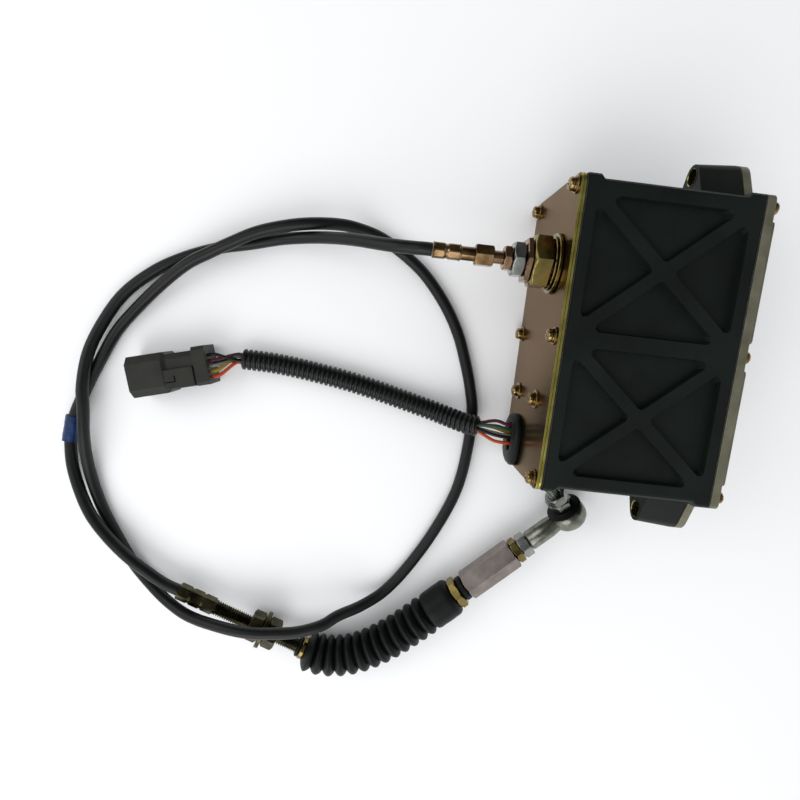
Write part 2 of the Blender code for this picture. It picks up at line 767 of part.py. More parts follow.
def add_back_cover():
    """Cast cover: a flange with ears and a raised panel that leaves room for the screws."""
    shape = bmesh.new()
    holes = []
    for side in (1, -1):
        centre = (side * (CASE_Y / 2 + LUG_OFFSET), LUG_HEIGHT)
        holes.append(circle(BUSH_BORE, 16, centre))
    slab(shape, cover_outline(), COVER_INNER, COVER_OUTER, holes)
    cover = add_piece("back_cover", shape, TAN_CAST, turn=END_FACE)

    panel = bmesh.new()
    reach_y = CASE_Y / 2 - COVER_INSET
    reach_z = CASE_Z / 2 - COVER_INSET
    screw_y = CASE_Y / 2 - SCREW_INSET_Y - COVER_NOTCH
    deep = CASE_Z / 2 - SCREW_INSET_Z - COVER_NOTCH
    quarter = [(screw_y, -reach_z), (screw_y, -deep), (reach_y, -deep)]
    lower = [(COVER_NOTCH, -deep), (COVER_NOTCH, -reach_z)] + quarter
    upper = [(y, -z) for y, z in reversed(lower)]
    right = lower + upper
    corners = right + [(-y, -z) for y, z in right]
    corners = [(y, z + CASE_Z / 2) for y, z in corners]
    slab(panel, rounded(corners, 0.0018, 2), COVER_OUTER - 0.001, COVER_OUTER + COVER_RISE)
    join_or_cut(cover, add_tool("cover_panel", panel, END_FACE), "UNION")
    screws = bmesh.new()
    add_screws(screws, screw_places(), COVER_OUTER, 1, WASHER_RADIUS, COVER_FLANGE + SCREW_LENGTH)
    join_or_cut(cover, add_tool("cover_screws", screws), "UNION")


def add_screws(shape, places, seat, direction, washer_radius, length):
    """Pan-head screws with a spring washer and a flat washer, from the seat outwards to -X or +X."""
    spring = WASHER + SPRING_WASHER
    head = spring + SCREW_HEAD_HEIGHT
    profile = [
        (0.0, head),
        (SCREW_HEAD_RADIUS, head - SCREW_HEAD_HEIGHT * 0.50),
        (SCREW_HEAD_RADIUS, WASHER),
        (washer_radius, WASHER),
        (washer_radius, -0.0005),
        (SCREW_RADIUS, -0.0005),
        (SCREW_RADIUS, -length),
        (0.0, -length),
    ]
    face = Matrix.Rotation(direction * math.pi / 2, 4, "Y")
    for y, z in places:
        one = bmesh.new()
        turned(one, profile, 8)
        one.transform(Matrix.Translation((seat, y, z)) @ face)
        merge(shape, one)


def add_gland():
    """Bulkhead gland, nuts and cable fittings on one axis; local Z runs outwards, from the plate."""
    axis = axis_empty("gland_axis", (PLATE_OUTER, GLAND_Y, GLAND_Z), Matrix.Rotation(-math.pi / 2, 3, "Y"))
    inner_face = PLATE + GAP + CHASSIS_FLANGE
    washer = GAP
    shim = washer + GLAND_WASHER + GAP
    star = shim + SHIM + GAP
    nut = star + STAR + GAP
    body_end = nut + GLAND_NUT
    collar = body_end + GAP
    jam = collar + ADAPTER_COLLAR + GAP
    lock = jam + JAM_NUT + GAP
    thread_end = lock + LOCK_NUT + FREE_THREAD
    hub = thread_end + GAP
    neck_end = hub + HUB_HEX + NECK
    ferrule = neck_end + GAP

    shape = bmesh.new()
    ring(shape, GLAND_BORE, GLAND_RADIUS, -inner_face - GLAND_INSIDE, body_end)
    add_piece("gland_body", shape, YELLOW_ZINC, axis)
    shape = bmesh.new()
    hex_nut(shape, INNER_NUT_FLATS, GLAND_RADIUS + GAP, -inner_face - GAP - INNER_NUT, -inner_face - GAP)
    add_piece("gland_inner_nut", shape, YELLOW_ZINC, axis)
    shape = bmesh.new()
    ring(shape, GLAND_RADIUS + GAP, GLAND_WASHER_RADIUS, washer, washer + GLAND_WASHER, FINE)
    add_piece("gland_washer", shape, YELLOW_ZINC, axis)
    shape = bmesh.new()
    ring(shape, GLAND_RADIUS + GAP, SHIM_RADIUS, shim, shim + SHIM, FINE)
    add_piece("gland_shim", shape, BRASS, axis)
    shape = bmesh.new()
    outline = []
    for k in range(STAR_TEETH * 2):
        radius = STAR_RADIUS if k % 2 == 0 else STAR_RADIUS * 0.86
        for side in (-0.30, 0.30):
            angle = math.pi * (k + side) / STAR_TEETH
            outline.append((radius * math.cos(angle), radius * math.sin(angle)))
    slab(shape, outline, star, star + STAR, [circle(GLAND_RADIUS + GAP, ROUND)])
    add_piece("star_washer", shape, DULL_STEEL, axis)
    shape = bmesh.new()
    hex_nut(shape, GLAND_NUT_FLATS, GLAND_RADIUS + GAP, nut, nut + GLAND_NUT)
    add_piece("gland_nut", shape, BRASS, axis)
    shape = bmesh.new()
    rings = [
        round_station(collar, CORE_BORE),
        hex_station(collar, ADAPTER_FLATS),
        hex_station(collar + ADAPTER_COLLAR, ADAPTER_FLATS),
        round_station(collar + ADAPTER_COLLAR, ADAPTER_THREAD_RADIUS),
        round_station(thread_end, ADAPTER_THREAD_RADIUS),
        round_station(thread_end, CORE_BORE),
    ]
    loft(shape, rings, closed=True)
    add_piece("cable_adapter", shape, YELLOW_ZINC, axis)
    shape = bmesh.new()
    hex_nut(shape, JAM_NUT_FLATS, ADAPTER_THREAD_RADIUS + GAP, jam, jam + JAM_NUT)
    add_piece("jam_nut", shape, BRIGHT_ZINC, axis)
    shape = bmesh.new()
    hex_nut(shape, LOCK_NUT_FLATS, ADAPTER_THREAD_RADIUS + GAP, lock, lock + LOCK_NUT)
    add_piece("lock_nut", shape, BRASS, axis)
    shape = bmesh.new()
    rings = [
        round_station(hub, CORE_BORE),
        hex_station(hub, HUB_FLATS, 0.95),
        hex_station(hub + 0.0008, HUB_FLATS),
        hex_station(hub + HUB_HEX - 0.0008, HUB_FLATS),
        hex_station(hub + HUB_HEX, HUB_FLATS, 0.95),
        round_station(hub + HUB_HEX, NECK_RADIUS),
        round_station(neck_end, NECK_RADIUS),
        round_station(neck_end, CORE_BORE),
    ]
    loft(shape, rings, closed=True)
    add_piece("cable_hub", shape, BRASS, axis)
    shape = bmesh.new()
    profile = [(CORE_BORE, ferrule), (FERRULE_RADIUS, ferrule)]
    for k in range(3):
        start = ferrule + FERRULE * (0.14 + 0.27 * k)
        profile += [(FERRULE_RADIUS, start), (FERRULE_RADIUS * 0.90, start + FERRULE * 0.09)]
        profile.append((FERRULE_RADIUS, start + FERRULE * 0.18))
    profile += [(FERRULE_RADIUS, ferrule + FERRULE), (CORE_BORE, ferrule + FERRULE)]
    turned(shape, profile, COARSE, closed=True)
    add_piece("near_ferrule", shape, BRASS, axis)
    return PLATE_OUTER - ferrule - FERRULE


def add_chassis():
    """Bracket of the gear train: an upright flange on the end plate and a level deck."""
    low_x = PLATE_INNER + GAP
    shape = bmesh.new()
    outline = rounded(
        [
            (CHASSIS_Y[0], CHASSIS_FLANGE_Z[0]),
            (CHASSIS_Y[1] - 0.012, CHASSIS_FLANGE_Z[0]),
            (CHASSIS_Y[1] - 0.012, CHASSIS_FLANGE_Z[1]),
            (CHASSIS_Y[0], CHASSIS_FLANGE_Z[1]),
        ],
        0.004,
        2,
    )
    holes = [circle(SCREW_RADIUS + GAP, 8, (INNER_SCREW_Y, z)) for z in INNER_SCREW_HEIGHTS]
    holes.append(circle(GLAND_RADIUS + GAP, ROUND, (GLAND_Y, GLAND_Z)))
    slab(shape, outline, low_x, low_x + CHASSIS_FLANGE, holes)
    chassis = add_piece("chassis", shape, BRIGHT_ZINC, turn=END_FACE)
    deck = bmesh.new()
    start_x = low_x + CHASSIS_FLANGE - 0.001
    corners = [
        (start_x, CHASSIS_Y[0]),
        (CHASSIS_X_END - 0.012, CHASSIS_Y[0]),
        (CHASSIS_X_END, CHASSIS_Y[0] + 0.014),
        (CHASSIS_X_END, CHASSIS_Y[1]),
        (start_x + 0.012, CHASSIS_Y[1]),
        (start_x, CHASSIS_Y[1] - 0.016),
    ]
    holes = [
        circle(BUSHING_RADIUS + GAP, COARSE, (OUTPUT_X, OUTPUT_Y)),
        circle(BUSHING_RADIUS + GAP, COARSE, (COMPOUND_X, COMPOUND_Y)),
        circle(MOTOR_BOSS_RADIUS + GAP, COARSE, (MOTOR_X, MOTOR_Y)),
    ]
    slab(deck, rounded(corners, [0, 0.004, 0.004, 0.004, 0.004, 0], 2), CHASSIS_LEVEL, CHASSIS_TOP, holes)
    join_or_cut(chassis, add_tool("chassis_deck", deck), "UNION")


def add_top_plate():
    """Upper bearing plate on three riveted posts."""
    shape = bmesh.new()
    places = [Vector(place) for place in POST_PLACES]
    reach = 0.0065
    corners = [
        places[0] + Vector((-reach, -reach)),
        Vector((MOTOR_X, COMPOUND_Y - 0.012)),
        places[1] + Vector((0.0, -reach * 1.3)),
        places[1] + Vector((reach, reach)),
        places[2] + Vector((reach * 1.3, reach)),
        places[2] + Vector((-reach * 1.3, reach)),
        places[0] + Vector((-reach, reach * 1.5)),
    ]
    holes = [
        circle(BUSHING_RADIUS + GAP, COARSE, (OUTPUT_X, OUTPUT_Y)),
        circle(BUSHING_RADIUS + GAP, COARSE, (COMPOUND_X, COMPOUND_Y)),
    ]
    outline = rounded([tuple(corner) for corner in corners], 0.004, 2)
    slab(shape, outline, TOP_PLATE_LEVEL, TOP_PLATE_LEVEL + TOP_PLATE, holes)
    plate = add_piece("top_bearing_plate", shape, BRIGHT_ZINC)
    posts = bmesh.new()
    for place in POST_PLACES:
        slab(posts, circle(POST_RADIUS, 8, place), CHASSIS_TOP + GAP, TOP_PLATE_LEVEL + TOP_PLATE / 2)
    join_or_cut(plate, add_tool("spacer_posts", posts), "UNION")


def add_gears():
    """Motor pinion, compound gear and output gear, each on the axis it turns about."""
    output_phase = math.radians(3.0)
    pinion_phase = meshed_phase(output_phase, TEETH_OUT, COMPOUND_TURN, TEETH_COMPOUND_PINION)
    wheel_phase = math.radians(5.0)
    motor_phase = meshed_phase(wheel_phase, TEETH_COMPOUND, MOTOR_TURN, TEETH_MOTOR)
    bore = circle(SHAFT_RADIUS + GAP, COARSE)
    top = TOP_PLATE_LEVEL - 0.0025

    output = axis_empty("output_axis", (OUTPUT_X, OUTPUT_Y, 0), Matrix.Identity(3))
    shape = bmesh.new()
    outline = gear_outline(TEETH_OUT, MODULE_OUT, output_phase, middle=False)
    slab(shape, outline, LAYER_ONE, LAYER_ONE + GEAR_WIDTH, [bore])
    gear = add_piece("output_gear", shape, GEAR_PLASTIC, output)
    pinion = bmesh.new()
    outline = gear_outline(TEETH_RACK_PINION, MODULE_RACK, math.pi / 2)
    slab(pinion, outline, LAYER_ONE + GEAR_WIDTH - 0.001, top, [bore])
    tool = add_tool("rack_pinion", pinion)
    tool.parent = output
    join_or_cut(gear, tool, "UNION")
    shape = bmesh.new()
    low = CHASSIS_LEVEL - SENSOR_DEPTH * 0.7
    slab(shape, circle(SHAFT_RADIUS, COARSE), low, TOP_PLATE_LEVEL + TOP_PLATE)
    add_piece("output_shaft", shape, BRIGHT_ZINC, output)

    compound = axis_empty("compound_axis", (COMPOUND_X, COMPOUND_Y, 0), Matrix.Identity(3))
    shape = bmesh.new()
    outline = gear_outline(TEETH_COMPOUND, MODULE_IN, wheel_phase, middle=False)
    slab(shape, outline, LAYER_TWO, LAYER_TWO + GEAR_WIDTH, [bore])
    gear = add_piece("compound_gear", shape, GEAR_PLASTIC, compound)
    pinion = bmesh.new()
    outline = gear_outline(TEETH_COMPOUND_PINION, MODULE_OUT, pinion_phase)
    slab(pinion, outline, LAYER_ONE - 0.0004, LAYER_TWO + 0.001, [bore])
    tool = add_tool("compound_pinion", pinion)
    tool.parent = compound
    join_or_cut(gear, tool, "UNION")
    shape = bmesh.new()
    slab(shape, circle(SHAFT_RADIUS, COARSE), CHASSIS_LEVEL, TOP_PLATE_LEVEL + TOP_PLATE)
    add_piece("compound_shaft", shape, BRIGHT_ZINC, compound)

    motor = axis_empty("motor_axis", (MOTOR_X, MOTOR_Y, 0), Matrix.Identity(3))
    shape = bmesh.new()
    outline = gear_outline(TEETH_MOTOR, MODULE_IN, motor_phase)
    slab(shape, outline, LAYER_TWO - 0.001, LAYER_TWO + GEAR_WIDTH + 0.001)
    pinion = add_piece("motor_pinion", shape, BRASS, motor)
    stub = bmesh.new()
    slab(stub, circle(MOTOR_SHAFT_RADIUS, 8), CHASSIS_LEVEL - 0.002, LAYER_TWO)
    tool = add_tool("motor_stub", stub)
    tool.parent = motor
    join_or_cut(pinion, tool, "UNION")


def add_bushings():
    """Plain bearings of the two shafts, in the deck and in the upper plate."""
    shafts = (("output", (OUTPUT_X, OUTPUT_Y)), ("compound", (COMPOUND_X, COMPOUND_Y)))
    plates = (("lower", CHASSIS_LEVEL, CHASSIS), ("upper", TOP_PLATE_LEVEL, TOP_PLATE))
    for shaft, centre in shafts:
        for plate, low, thick in plates:
            shape = bmesh.new()
            inner = [circle(SHAFT_RADIUS + GAP, COARSE, centre)]
            slab(shape, circle(BUSHING_RADIUS, COARSE, centre), low, low + thick, inner)
            add_piece(f"{shaft}_bushing_{plate}", shape, BRASS)


def add_motor():
    """Sealed motor under the deck, its boss in the deck's hole."""
    shape = bmesh.new()
    top = CHASSIS_LEVEL - GAP
    profile = [
        (0.0, top - MOTOR_LENGTH),
        (MOTOR_RADIUS * 0.5, top - MOTOR_LENGTH),
        (MOTOR_RADIUS * 0.94, top - MOTOR_LENGTH + 0.001),
        (MOTOR_RADIUS, top - MOTOR_LENGTH + 0.003),
        (MOTOR_RADIUS, top),
        (MOTOR_BOSS_RADIUS, top),
        (MOTOR_BOSS_RADIUS, CHASSIS_TOP),
        (MOTOR_SHAFT_RADIUS + GAP, CHASSIS_TOP),
        (MOTOR_SHAFT_RADIUS + GAP, CHASSIS_LEVEL - 0.003),
        (0.0, CHASSIS_LEVEL - 0.003),
    ]
    turned(shape, profile, ROUND)
    add_piece("motor", shape, DULL_STEEL, turn=Matrix.Translation((MOTOR_X, MOTOR_Y, 0)))


def add_sensor():
    """Rotary position sensor under the deck, on the lower end of the output shaft."""
    shape = bmesh.new()
    top = CHASSIS_LEVEL - GAP
    deep = CHASSIS_LEVEL - SENSOR_DEPTH * 0.7 - GAP
    profile = [
        (0.0, top - SENSOR_DEPTH),
        (SENSOR_RADIUS, top - SENSOR_DEPTH),
        (SENSOR_RADIUS, top - 0.002),
        (SENSOR_RADIUS + 0.002, top - 0.002),
        (SENSOR_RADIUS + 0.002, top),
        (SHAFT_RADIUS + GAP, top),
        (SHAFT_RADIUS + GAP, deep),
        (0.0, deep),
    ]
    turned(shape, profile, ROUND)
    add_piece("position_sensor", shape, RUBBER, turn=Matrix.Translation((OUTPUT_X, OUTPUT_Y, 0)))


def add_rack():
    """Rack, the rod that drives the cable's core, and the channel that guides the rack."""
    low = GLAND_Z - RACK_SECTION_Z / 2
    high = GLAND_Z + RACK_SECTION_Z / 2
    pitch = math.pi * MODULE_RACK
    start = RACK_REST - RACK_LENGTH / 2
    end = RACK_REST + RACK_LENGTH / 2
    tip = RACK_PITCH_LINE - 0.92 * MODULE_RACK
    root = RACK_PITCH_LINE + 1.30 * MODULE_RACK
    slope = math.tan(math.radians(20))
    half = pitch / 4 - BACKLASH / 2
    first = OUTPUT_X + pitch / 2
    first -= math.floor((first - start) / pitch) * pitch
    outline = [(end, RACK_FRONT), (start, RACK_FRONT), (start, root)]
    centre = first
    while centre < end:
        wide = half + slope * 1.30 * MODULE_RACK
        narrow = half - slope * 0.92 * MODULE_RACK
        if centre - wide > start + 0.0002 and centre + wide < end - 0.0002:
            outline += [(centre - wide, root), (centre - narrow, tip)]
            outline += [(centre + narrow, tip), (centre + wide, root)]
        centre += pitch
    outline.append((end, root))
    shape = bmesh.new()
    slab(shape, outline, low, high)
    axis = axis_empty("rack_axis", (RACK_REST, GLAND_Y, GLAND_Z), Matrix.Identity(3))
    home = axis.matrix_world.inverted()
    rack = add_piece("rack", shape, BRIGHT_ZINC, axis, home)
    bore = bmesh.new()
    slab(bore, circle(CORE_RADIUS + GAP, 8, (GLAND_Y, GLAND_Z)), start - 0.001, start + CORE_ROD_SEAT + GAP)
    join_or_cut(rack, add_tool("rack_bore", bore, END_FACE), "DIFFERENCE")

    shape = bmesh.new()
    tail = start + CORE_ROD_SEAT
    slab(shape, circle(CORE_RADIUS, 8, (GLAND_Y, GLAND_Z)), tail - CORE_ROD_LENGTH - CORE_ROD_SEAT, tail)
    add_piece("core_rod", shape, BRIGHT_ZINC, axis, home @ END_FACE)

    shape = bmesh.new()
    back = RACK_FRONT + SLIDE_GAP
    lip = root + 0.0012
    section = [
        (lip, high + SLIDE_GAP),
        (back, high + SLIDE_GAP),
        (back, low - SLIDE_GAP),
        (lip, low - SLIDE_GAP),
        (lip, low - SLIDE_GAP - 0.0012),
        (back + GUIDE_BACK, low - SLIDE_GAP - 0.0012),
        (back + GUIDE_BACK, high + SLIDE_GAP + GUIDE_WALL),
        (lip, high + SLIDE_GAP + GUIDE_WALL),
    ]
    slab(shape, section, OUTPUT_X - 0.030, OUTPUT_X + 0.030)
    guide = add_piece("rack_guide", shape, BRIGHT_ZINC, turn=END_FACE)
    feet = bmesh.new()
    for sign in (-1, 1):
        inner, outer = sorted((OUTPUT_X + sign * 0.0245, OUTPUT_X + sign * 0.030))
        corners = box_corners(
            (outer - inner) / 2,
            GUIDE_BACK / 2 - 0.0001,
            ((inner + outer) / 2, back + GUIDE_BACK / 2),
        )
        slab(feet, corners, CHASSIS_TOP + GAP, low)
    join_or_cut(guide, add_tool("guide_feet", feet), "UNION")


ROUTE = (
    (-0.1225, 0.0380, 0.0546),
    (-0.1359, 0.0385, 0.0500),
    (-0.1590, 0.0413, 0.0340),
    (-0.1802, 0.0420, 0.0190),
    (-0.2010, 0.0399, 0.0110),
    (-0.2215, 0.0351, 0.0070),
    (-0.2406, 0.0307, 0.0050),
    (-0.2612, 0.0228, 0.0040),
    (-0.2790, 0.0126, 0.0040),
    (-0.2966, -0.0033, 0.0045),
    (-0.3080, -0.0223, 0.0060),
    (-0.3147, -0.0420, 0.0090),
    (-0.3160, -0.0633, 0.0120),
    (-0.3147, -0.0757, 0.0124),
    (-0.3145, -0.0919, 0.0110),
    (-0.3141, -0.1040, 0.0085),
    (-0.3115, -0.1208, 0.0055),
    (-0.3040, -0.1419, 0.0040),
    (-0.2934, -0.1604, 0.0040),
    (-0.2830, -0.1760, 0.0042),
    (-0.2703, -0.1888, 0.0060),
    (-0.2560, -0.1983, 0.0105),
    (-0.2392, -0.2034, 0.0175),
    (-0.2153, -0.2046, 0.0252),
    (-0.1975, -0.2047, 0.0282),
    (-0.1812, -0.2031, 0.0287),
    (-0.1669, -0.2009, 0.0280),
    (-0.1529, -0.1960, 0.0262),
    (-0.1443, -0.1921, 0.0205),
    (-0.1290, -0.1876, 0.0115),
    (-0.1147, -0.1782, 0.0060),
    (-0.0998, -0.1583, 0.0040),
    (-0.0858, -0.1318, 0.0040),
    (-0.0760, -0.1057, 0.0040),
    (-0.0724, -0.0797, 0.0040),
    (-0.0724, -0.0532, 0.0040),
    (-0.0758, -0.0373, 0.0040),
    (-0.0811, -0.0211, 0.0040),
    (-0.0877, -0.0047, 0.0040),
    (-0.0981, 0.0124, 0.0040),
    (-0.1128, 0.0293, 0.0040),
    (-0.1270, 0.0400, 0.0042),
    (-0.1420, 0.0480, 0.0055),
    (-0.1532, 0.0510, 0.0080),
    (-0.1652, 0.0521, 0.0120),
    (-0.1812, 0.0502, 0.0175),
    (-0.1967, 0.0471, 0.0185),
    (-0.2154, 0.0413, 0.0170),
    (-0.2313, 0.0334, 0.0150),
    (-0.2437, 0.0266, 0.0132),
    (-0.2567, 0.0189, 0.0115),
    (-0.2725, 0.0053, 0.0080),
    (-0.2882, -0.0113, 0.0050),
    (-0.3001, -0.0269, 0.0040),
    (-0.3092, -0.0455, 0.0040),
    (-0.3180, -0.0668, 0.0045),
    (-0.3246, -0.0890, 0.0052),
    (-0.3240, -0.1104, 0.0058),
    (-0.3177, -0.1281, 0.0080),
    (-0.3076, -0.1449, 0.0110),
    (-0.2954, -0.1582, 0.0125),
    (-0.2819, -0.1700, 0.0129),
    (-0.2696, -0.1784, 0.0129),
)


def far_frame():
    """Rotation that lays local Z along the far hub's axis."""
    ahead = Vector((math.cos(FAR_HUB_TURN), math.sin(FAR_HUB_TURN), 0))
    return frame_along(ahead, Vector((0, 0, 1)))


def frame_along(ahead, up):
    """A rotation whose Z axis is ahead and whose X axis is as near to up as can be."""
    across = ahead.cross(up).normalized()
    rise = across.cross(ahead).normalized()
    return Matrix((rise, ahead.cross(rise), ahead)).transposed()


def add_cable(near_end):
    """Push-pull cable in nearly two turns, with a band of tape on it."""
    ahead = Vector((math.cos(FAR_HUB_TURN), math.sin(FAR_HUB_TURN), 0))
    start = Vector((near_end - GAP, GLAND_Y, GLAND_Z))
    before = FAR_HUB_START - 0.010 * ahead
    end = FAR_HUB_START - GAP * ahead
    lead = start - Vector((CORD_LEAD * 2, 0, 0))
    route = [start, lead, *[Vector(place) for place in ROUTE], before, end]
    add_cord("control_cable", [route], CABLE_RADIUS, CABLE_POINTS, 2, RUBBER)

    places = smooth_route(route, CABLE_POINTS - 2)
    first = round(TAPE_PLACE * (len(places) - 2))
    start, end = places[first], places[first + 1]
    inner = CABLE_RADIUS + TAPE_CLEARANCE
    half = TAPE_LENGTH / 2
    shape = bmesh.new()
    ring(shape, inner, inner + TAPE_THICKNESS, -half, half, 16)
    turn = frame_along((end - start).normalized(), Vector((0, 0, 1))).to_4x4()
    add_piece("tape_band", shape, BLUE_TAPE, turn=Matrix.Translation(start.lerp(end, 0.5)) @ turn)


def add_far_hub():
    """Swaged and threaded hub at the cable's far end, with two nuts, a washer and a wiper seal."""
    axis = axis_empty("far_hub_axis", FAR_HUB_START, far_frame())
    shape = bmesh.new()
    rings = [round_station(0.0, CORE_BORE), hex_station(0.0, SWAGE_FLATS)]
    for k in (1, 2):
        place = SWAGE * k / 3
        rings += [hex_station(place - 0.0004, SWAGE_FLATS), hex_station(place, SWAGE_FLATS * 0.94)]
        rings.append(hex_station(place + 0.0004, SWAGE_FLATS))
    rings += [
        hex_station(SWAGE, SWAGE_FLATS),
        round_station(SWAGE + 0.001, FAR_THREAD_RADIUS),
        round_station(HUB_LENGTH, FAR_THREAD_RADIUS),
        round_station(HUB_LENGTH, CORE_BORE),
    ]
    loft(shape, rings, closed=True)
    add_piece("far_hub", shape, OLIVE_ZINC, axis)
    bore = FAR_THREAD_RADIUS + GAP
    washer = HUB_NUT_START + HUB_NUT + GAP
    second = washer + HUB_WASHER + GAP
    for name, start in (("hub_nut_rear", HUB_NUT_START), ("hub_nut_front", second)):
        shape = bmesh.new()
        hex_nut(shape, HUB_NUT_FLATS, bore, start, start + HUB_NUT)
        add_piece(name, shape, OLIVE_ZINC, axis)
    shape = bmesh.new()
    ring(shape, bore, HUB_WASHER_RADIUS, washer, washer + HUB_WASHER, FINE)
    add_piece("hub_washer", shape, OLIVE_ZINC, axis)
    shape = bmesh.new()
    seal = HUB_LENGTH + GAP
    profile = [
        (CORE_BORE, seal),
        (HUB_SEAL_RADIUS * 0.80, seal),
        (HUB_SEAL_RADIUS, seal + 0.0012),
        (HUB_SEAL_RADIUS, seal + HUB_SEAL),
        (CORE_BORE, seal + HUB_SEAL),
    ]
    turned(shape, profile, ROUND, closed=True)
    add_piece("hub_seal", shape, RUBBER, axis)
    shape = bmesh.new()
    start = seal + HUB_SEAL + GAP
    ring(shape, CORE_BORE, HUB_RING_RADIUS, start, start + HUB_RING)
    add_piece("hub_ring", shape, BRASS, axis)
    return start + HUB_RING + GAP


def rod_direction():
    """Direction in which the sliding rod moves out."""
    return Vector((math.cos(ROD_TURN), math.sin(ROD_TURN), 0))


def bellows_line(start, steps):
    """Centre line of the bellows: a smooth bend from the hub to the rod, as places and directions."""
    leave = Vector((math.cos(FAR_HUB_TURN), math.sin(FAR_HUB_TURN), 0))
    arrive = rod_direction()
    first = FAR_HUB_START + leave * start
    last = EYE_CENTRE - arrive * cuff_start()
    reach = (last - first).length * 0.37
    handles = (first, first + leave * reach, last - arrive * reach, last)
    line = []
    for k in range(steps + 1):
        t = k / steps
        a, b, c, d = handles
        place = a * (1 - t) ** 3 + b * 3 * t * (1 - t) ** 2 + c * 3 * t**2 * (1 - t) + d * t**3
        slope = (b - a) * (1 - t) ** 2 + (c - b) * 2 * t * (1 - t) + (d - c) * t**2
        line.append((place, slope.normalized()))
    return line


def cuff_start():
    """Distance from the eye's centre to the place where the folds meet the cuff."""
    chain = ROD_JAM + BARREL_NUT + BARREL + BARREL_SEAL + BOOT_RING + CUFF
    return SHANK_END + chain + 6 * GAP


def ring_on(place, along, radius, count):
    """A ring of points around a centre line."""
    across = Vector((along.y, -along.x, 0))
    points = []
    for k in range(count):
        angle = 2 * math.pi * k / count
        points.append(place + across * radius * math.cos(angle) + Vector((0, 0, radius * math.sin(angle))))
    return points


def add_bellows(start):
    """Rubber gaiter: thirteen folds on a bent centre line and a plain cuff around the boot ring."""
    per_fold = 8
    line = bellows_line(start, BELLOWS_FOLDS * per_fold)
    outer, inner = [], []
    lip = HUB_RING_RADIUS * 0.98
    for k in range(BELLOWS_FOLDS):
        base = k * per_fold
        for step, radius in ((0, BELLOWS_ROOT), (3, BELLOWS_CREST), (5, BELLOWS_CREST)):
            radius = lip if base + step == 0 else radius
            outer.append(ring_on(*line[base + step], radius, BELLOWS_SEGMENTS))
        bore = min(lip, BELLOWS_ROOT) if k == 0 else BELLOWS_ROOT
        inner.append(ring_on(*line[base], bore - BELLOWS_WALL, BELLOWS_SEGMENTS))
    end, along = line[-1]
    hold = BOOT_RING_FLATS / 2 * 0.80
    for step, radius in (
        (0.0, BELLOWS_ROOT),
        (0.0012, CUFF_RADIUS - 0.0016),
        (0.0036, CUFF_RADIUS),
        (CUFF - 0.0040, CUFF_RADIUS),
        (CUFF - 0.0012, CUFF_RADIUS - 0.0012),
        (CUFF, CUFF_RADIUS - 0.0040),
    ):
        outer.append(ring_on(end + along * step, along, radius, BELLOWS_SEGMENTS))
    for step, radius in ((0.0, BELLOWS_ROOT - BELLOWS_WALL), (CUFF, hold)):
        inner.append(ring_on(end + along * step, along, radius, BELLOWS_SEGMENTS))
    shape = bmesh.new()
    loft(shape, outer + list(reversed(inner)), closed=True)
    add_piece("bellows", shape, RUBBER)


def add_core_wire(start):
    """The cable's core where it crosses the bellows."""
    line = bellows_line(start, 12)
    ahead = Vector((math.cos(FAR_HUB_TURN), math.sin(FAR_HUB_TURN), 0))
    tail = line[-1][0] + rod_direction() * CUFF
    route = [line[0][0] - ahead * 0.006, *[place for place, along in line], tail]
    add_cord("core_wire", [route], CORE_RADIUS, 12, 2, BRIGHT_ZINC)


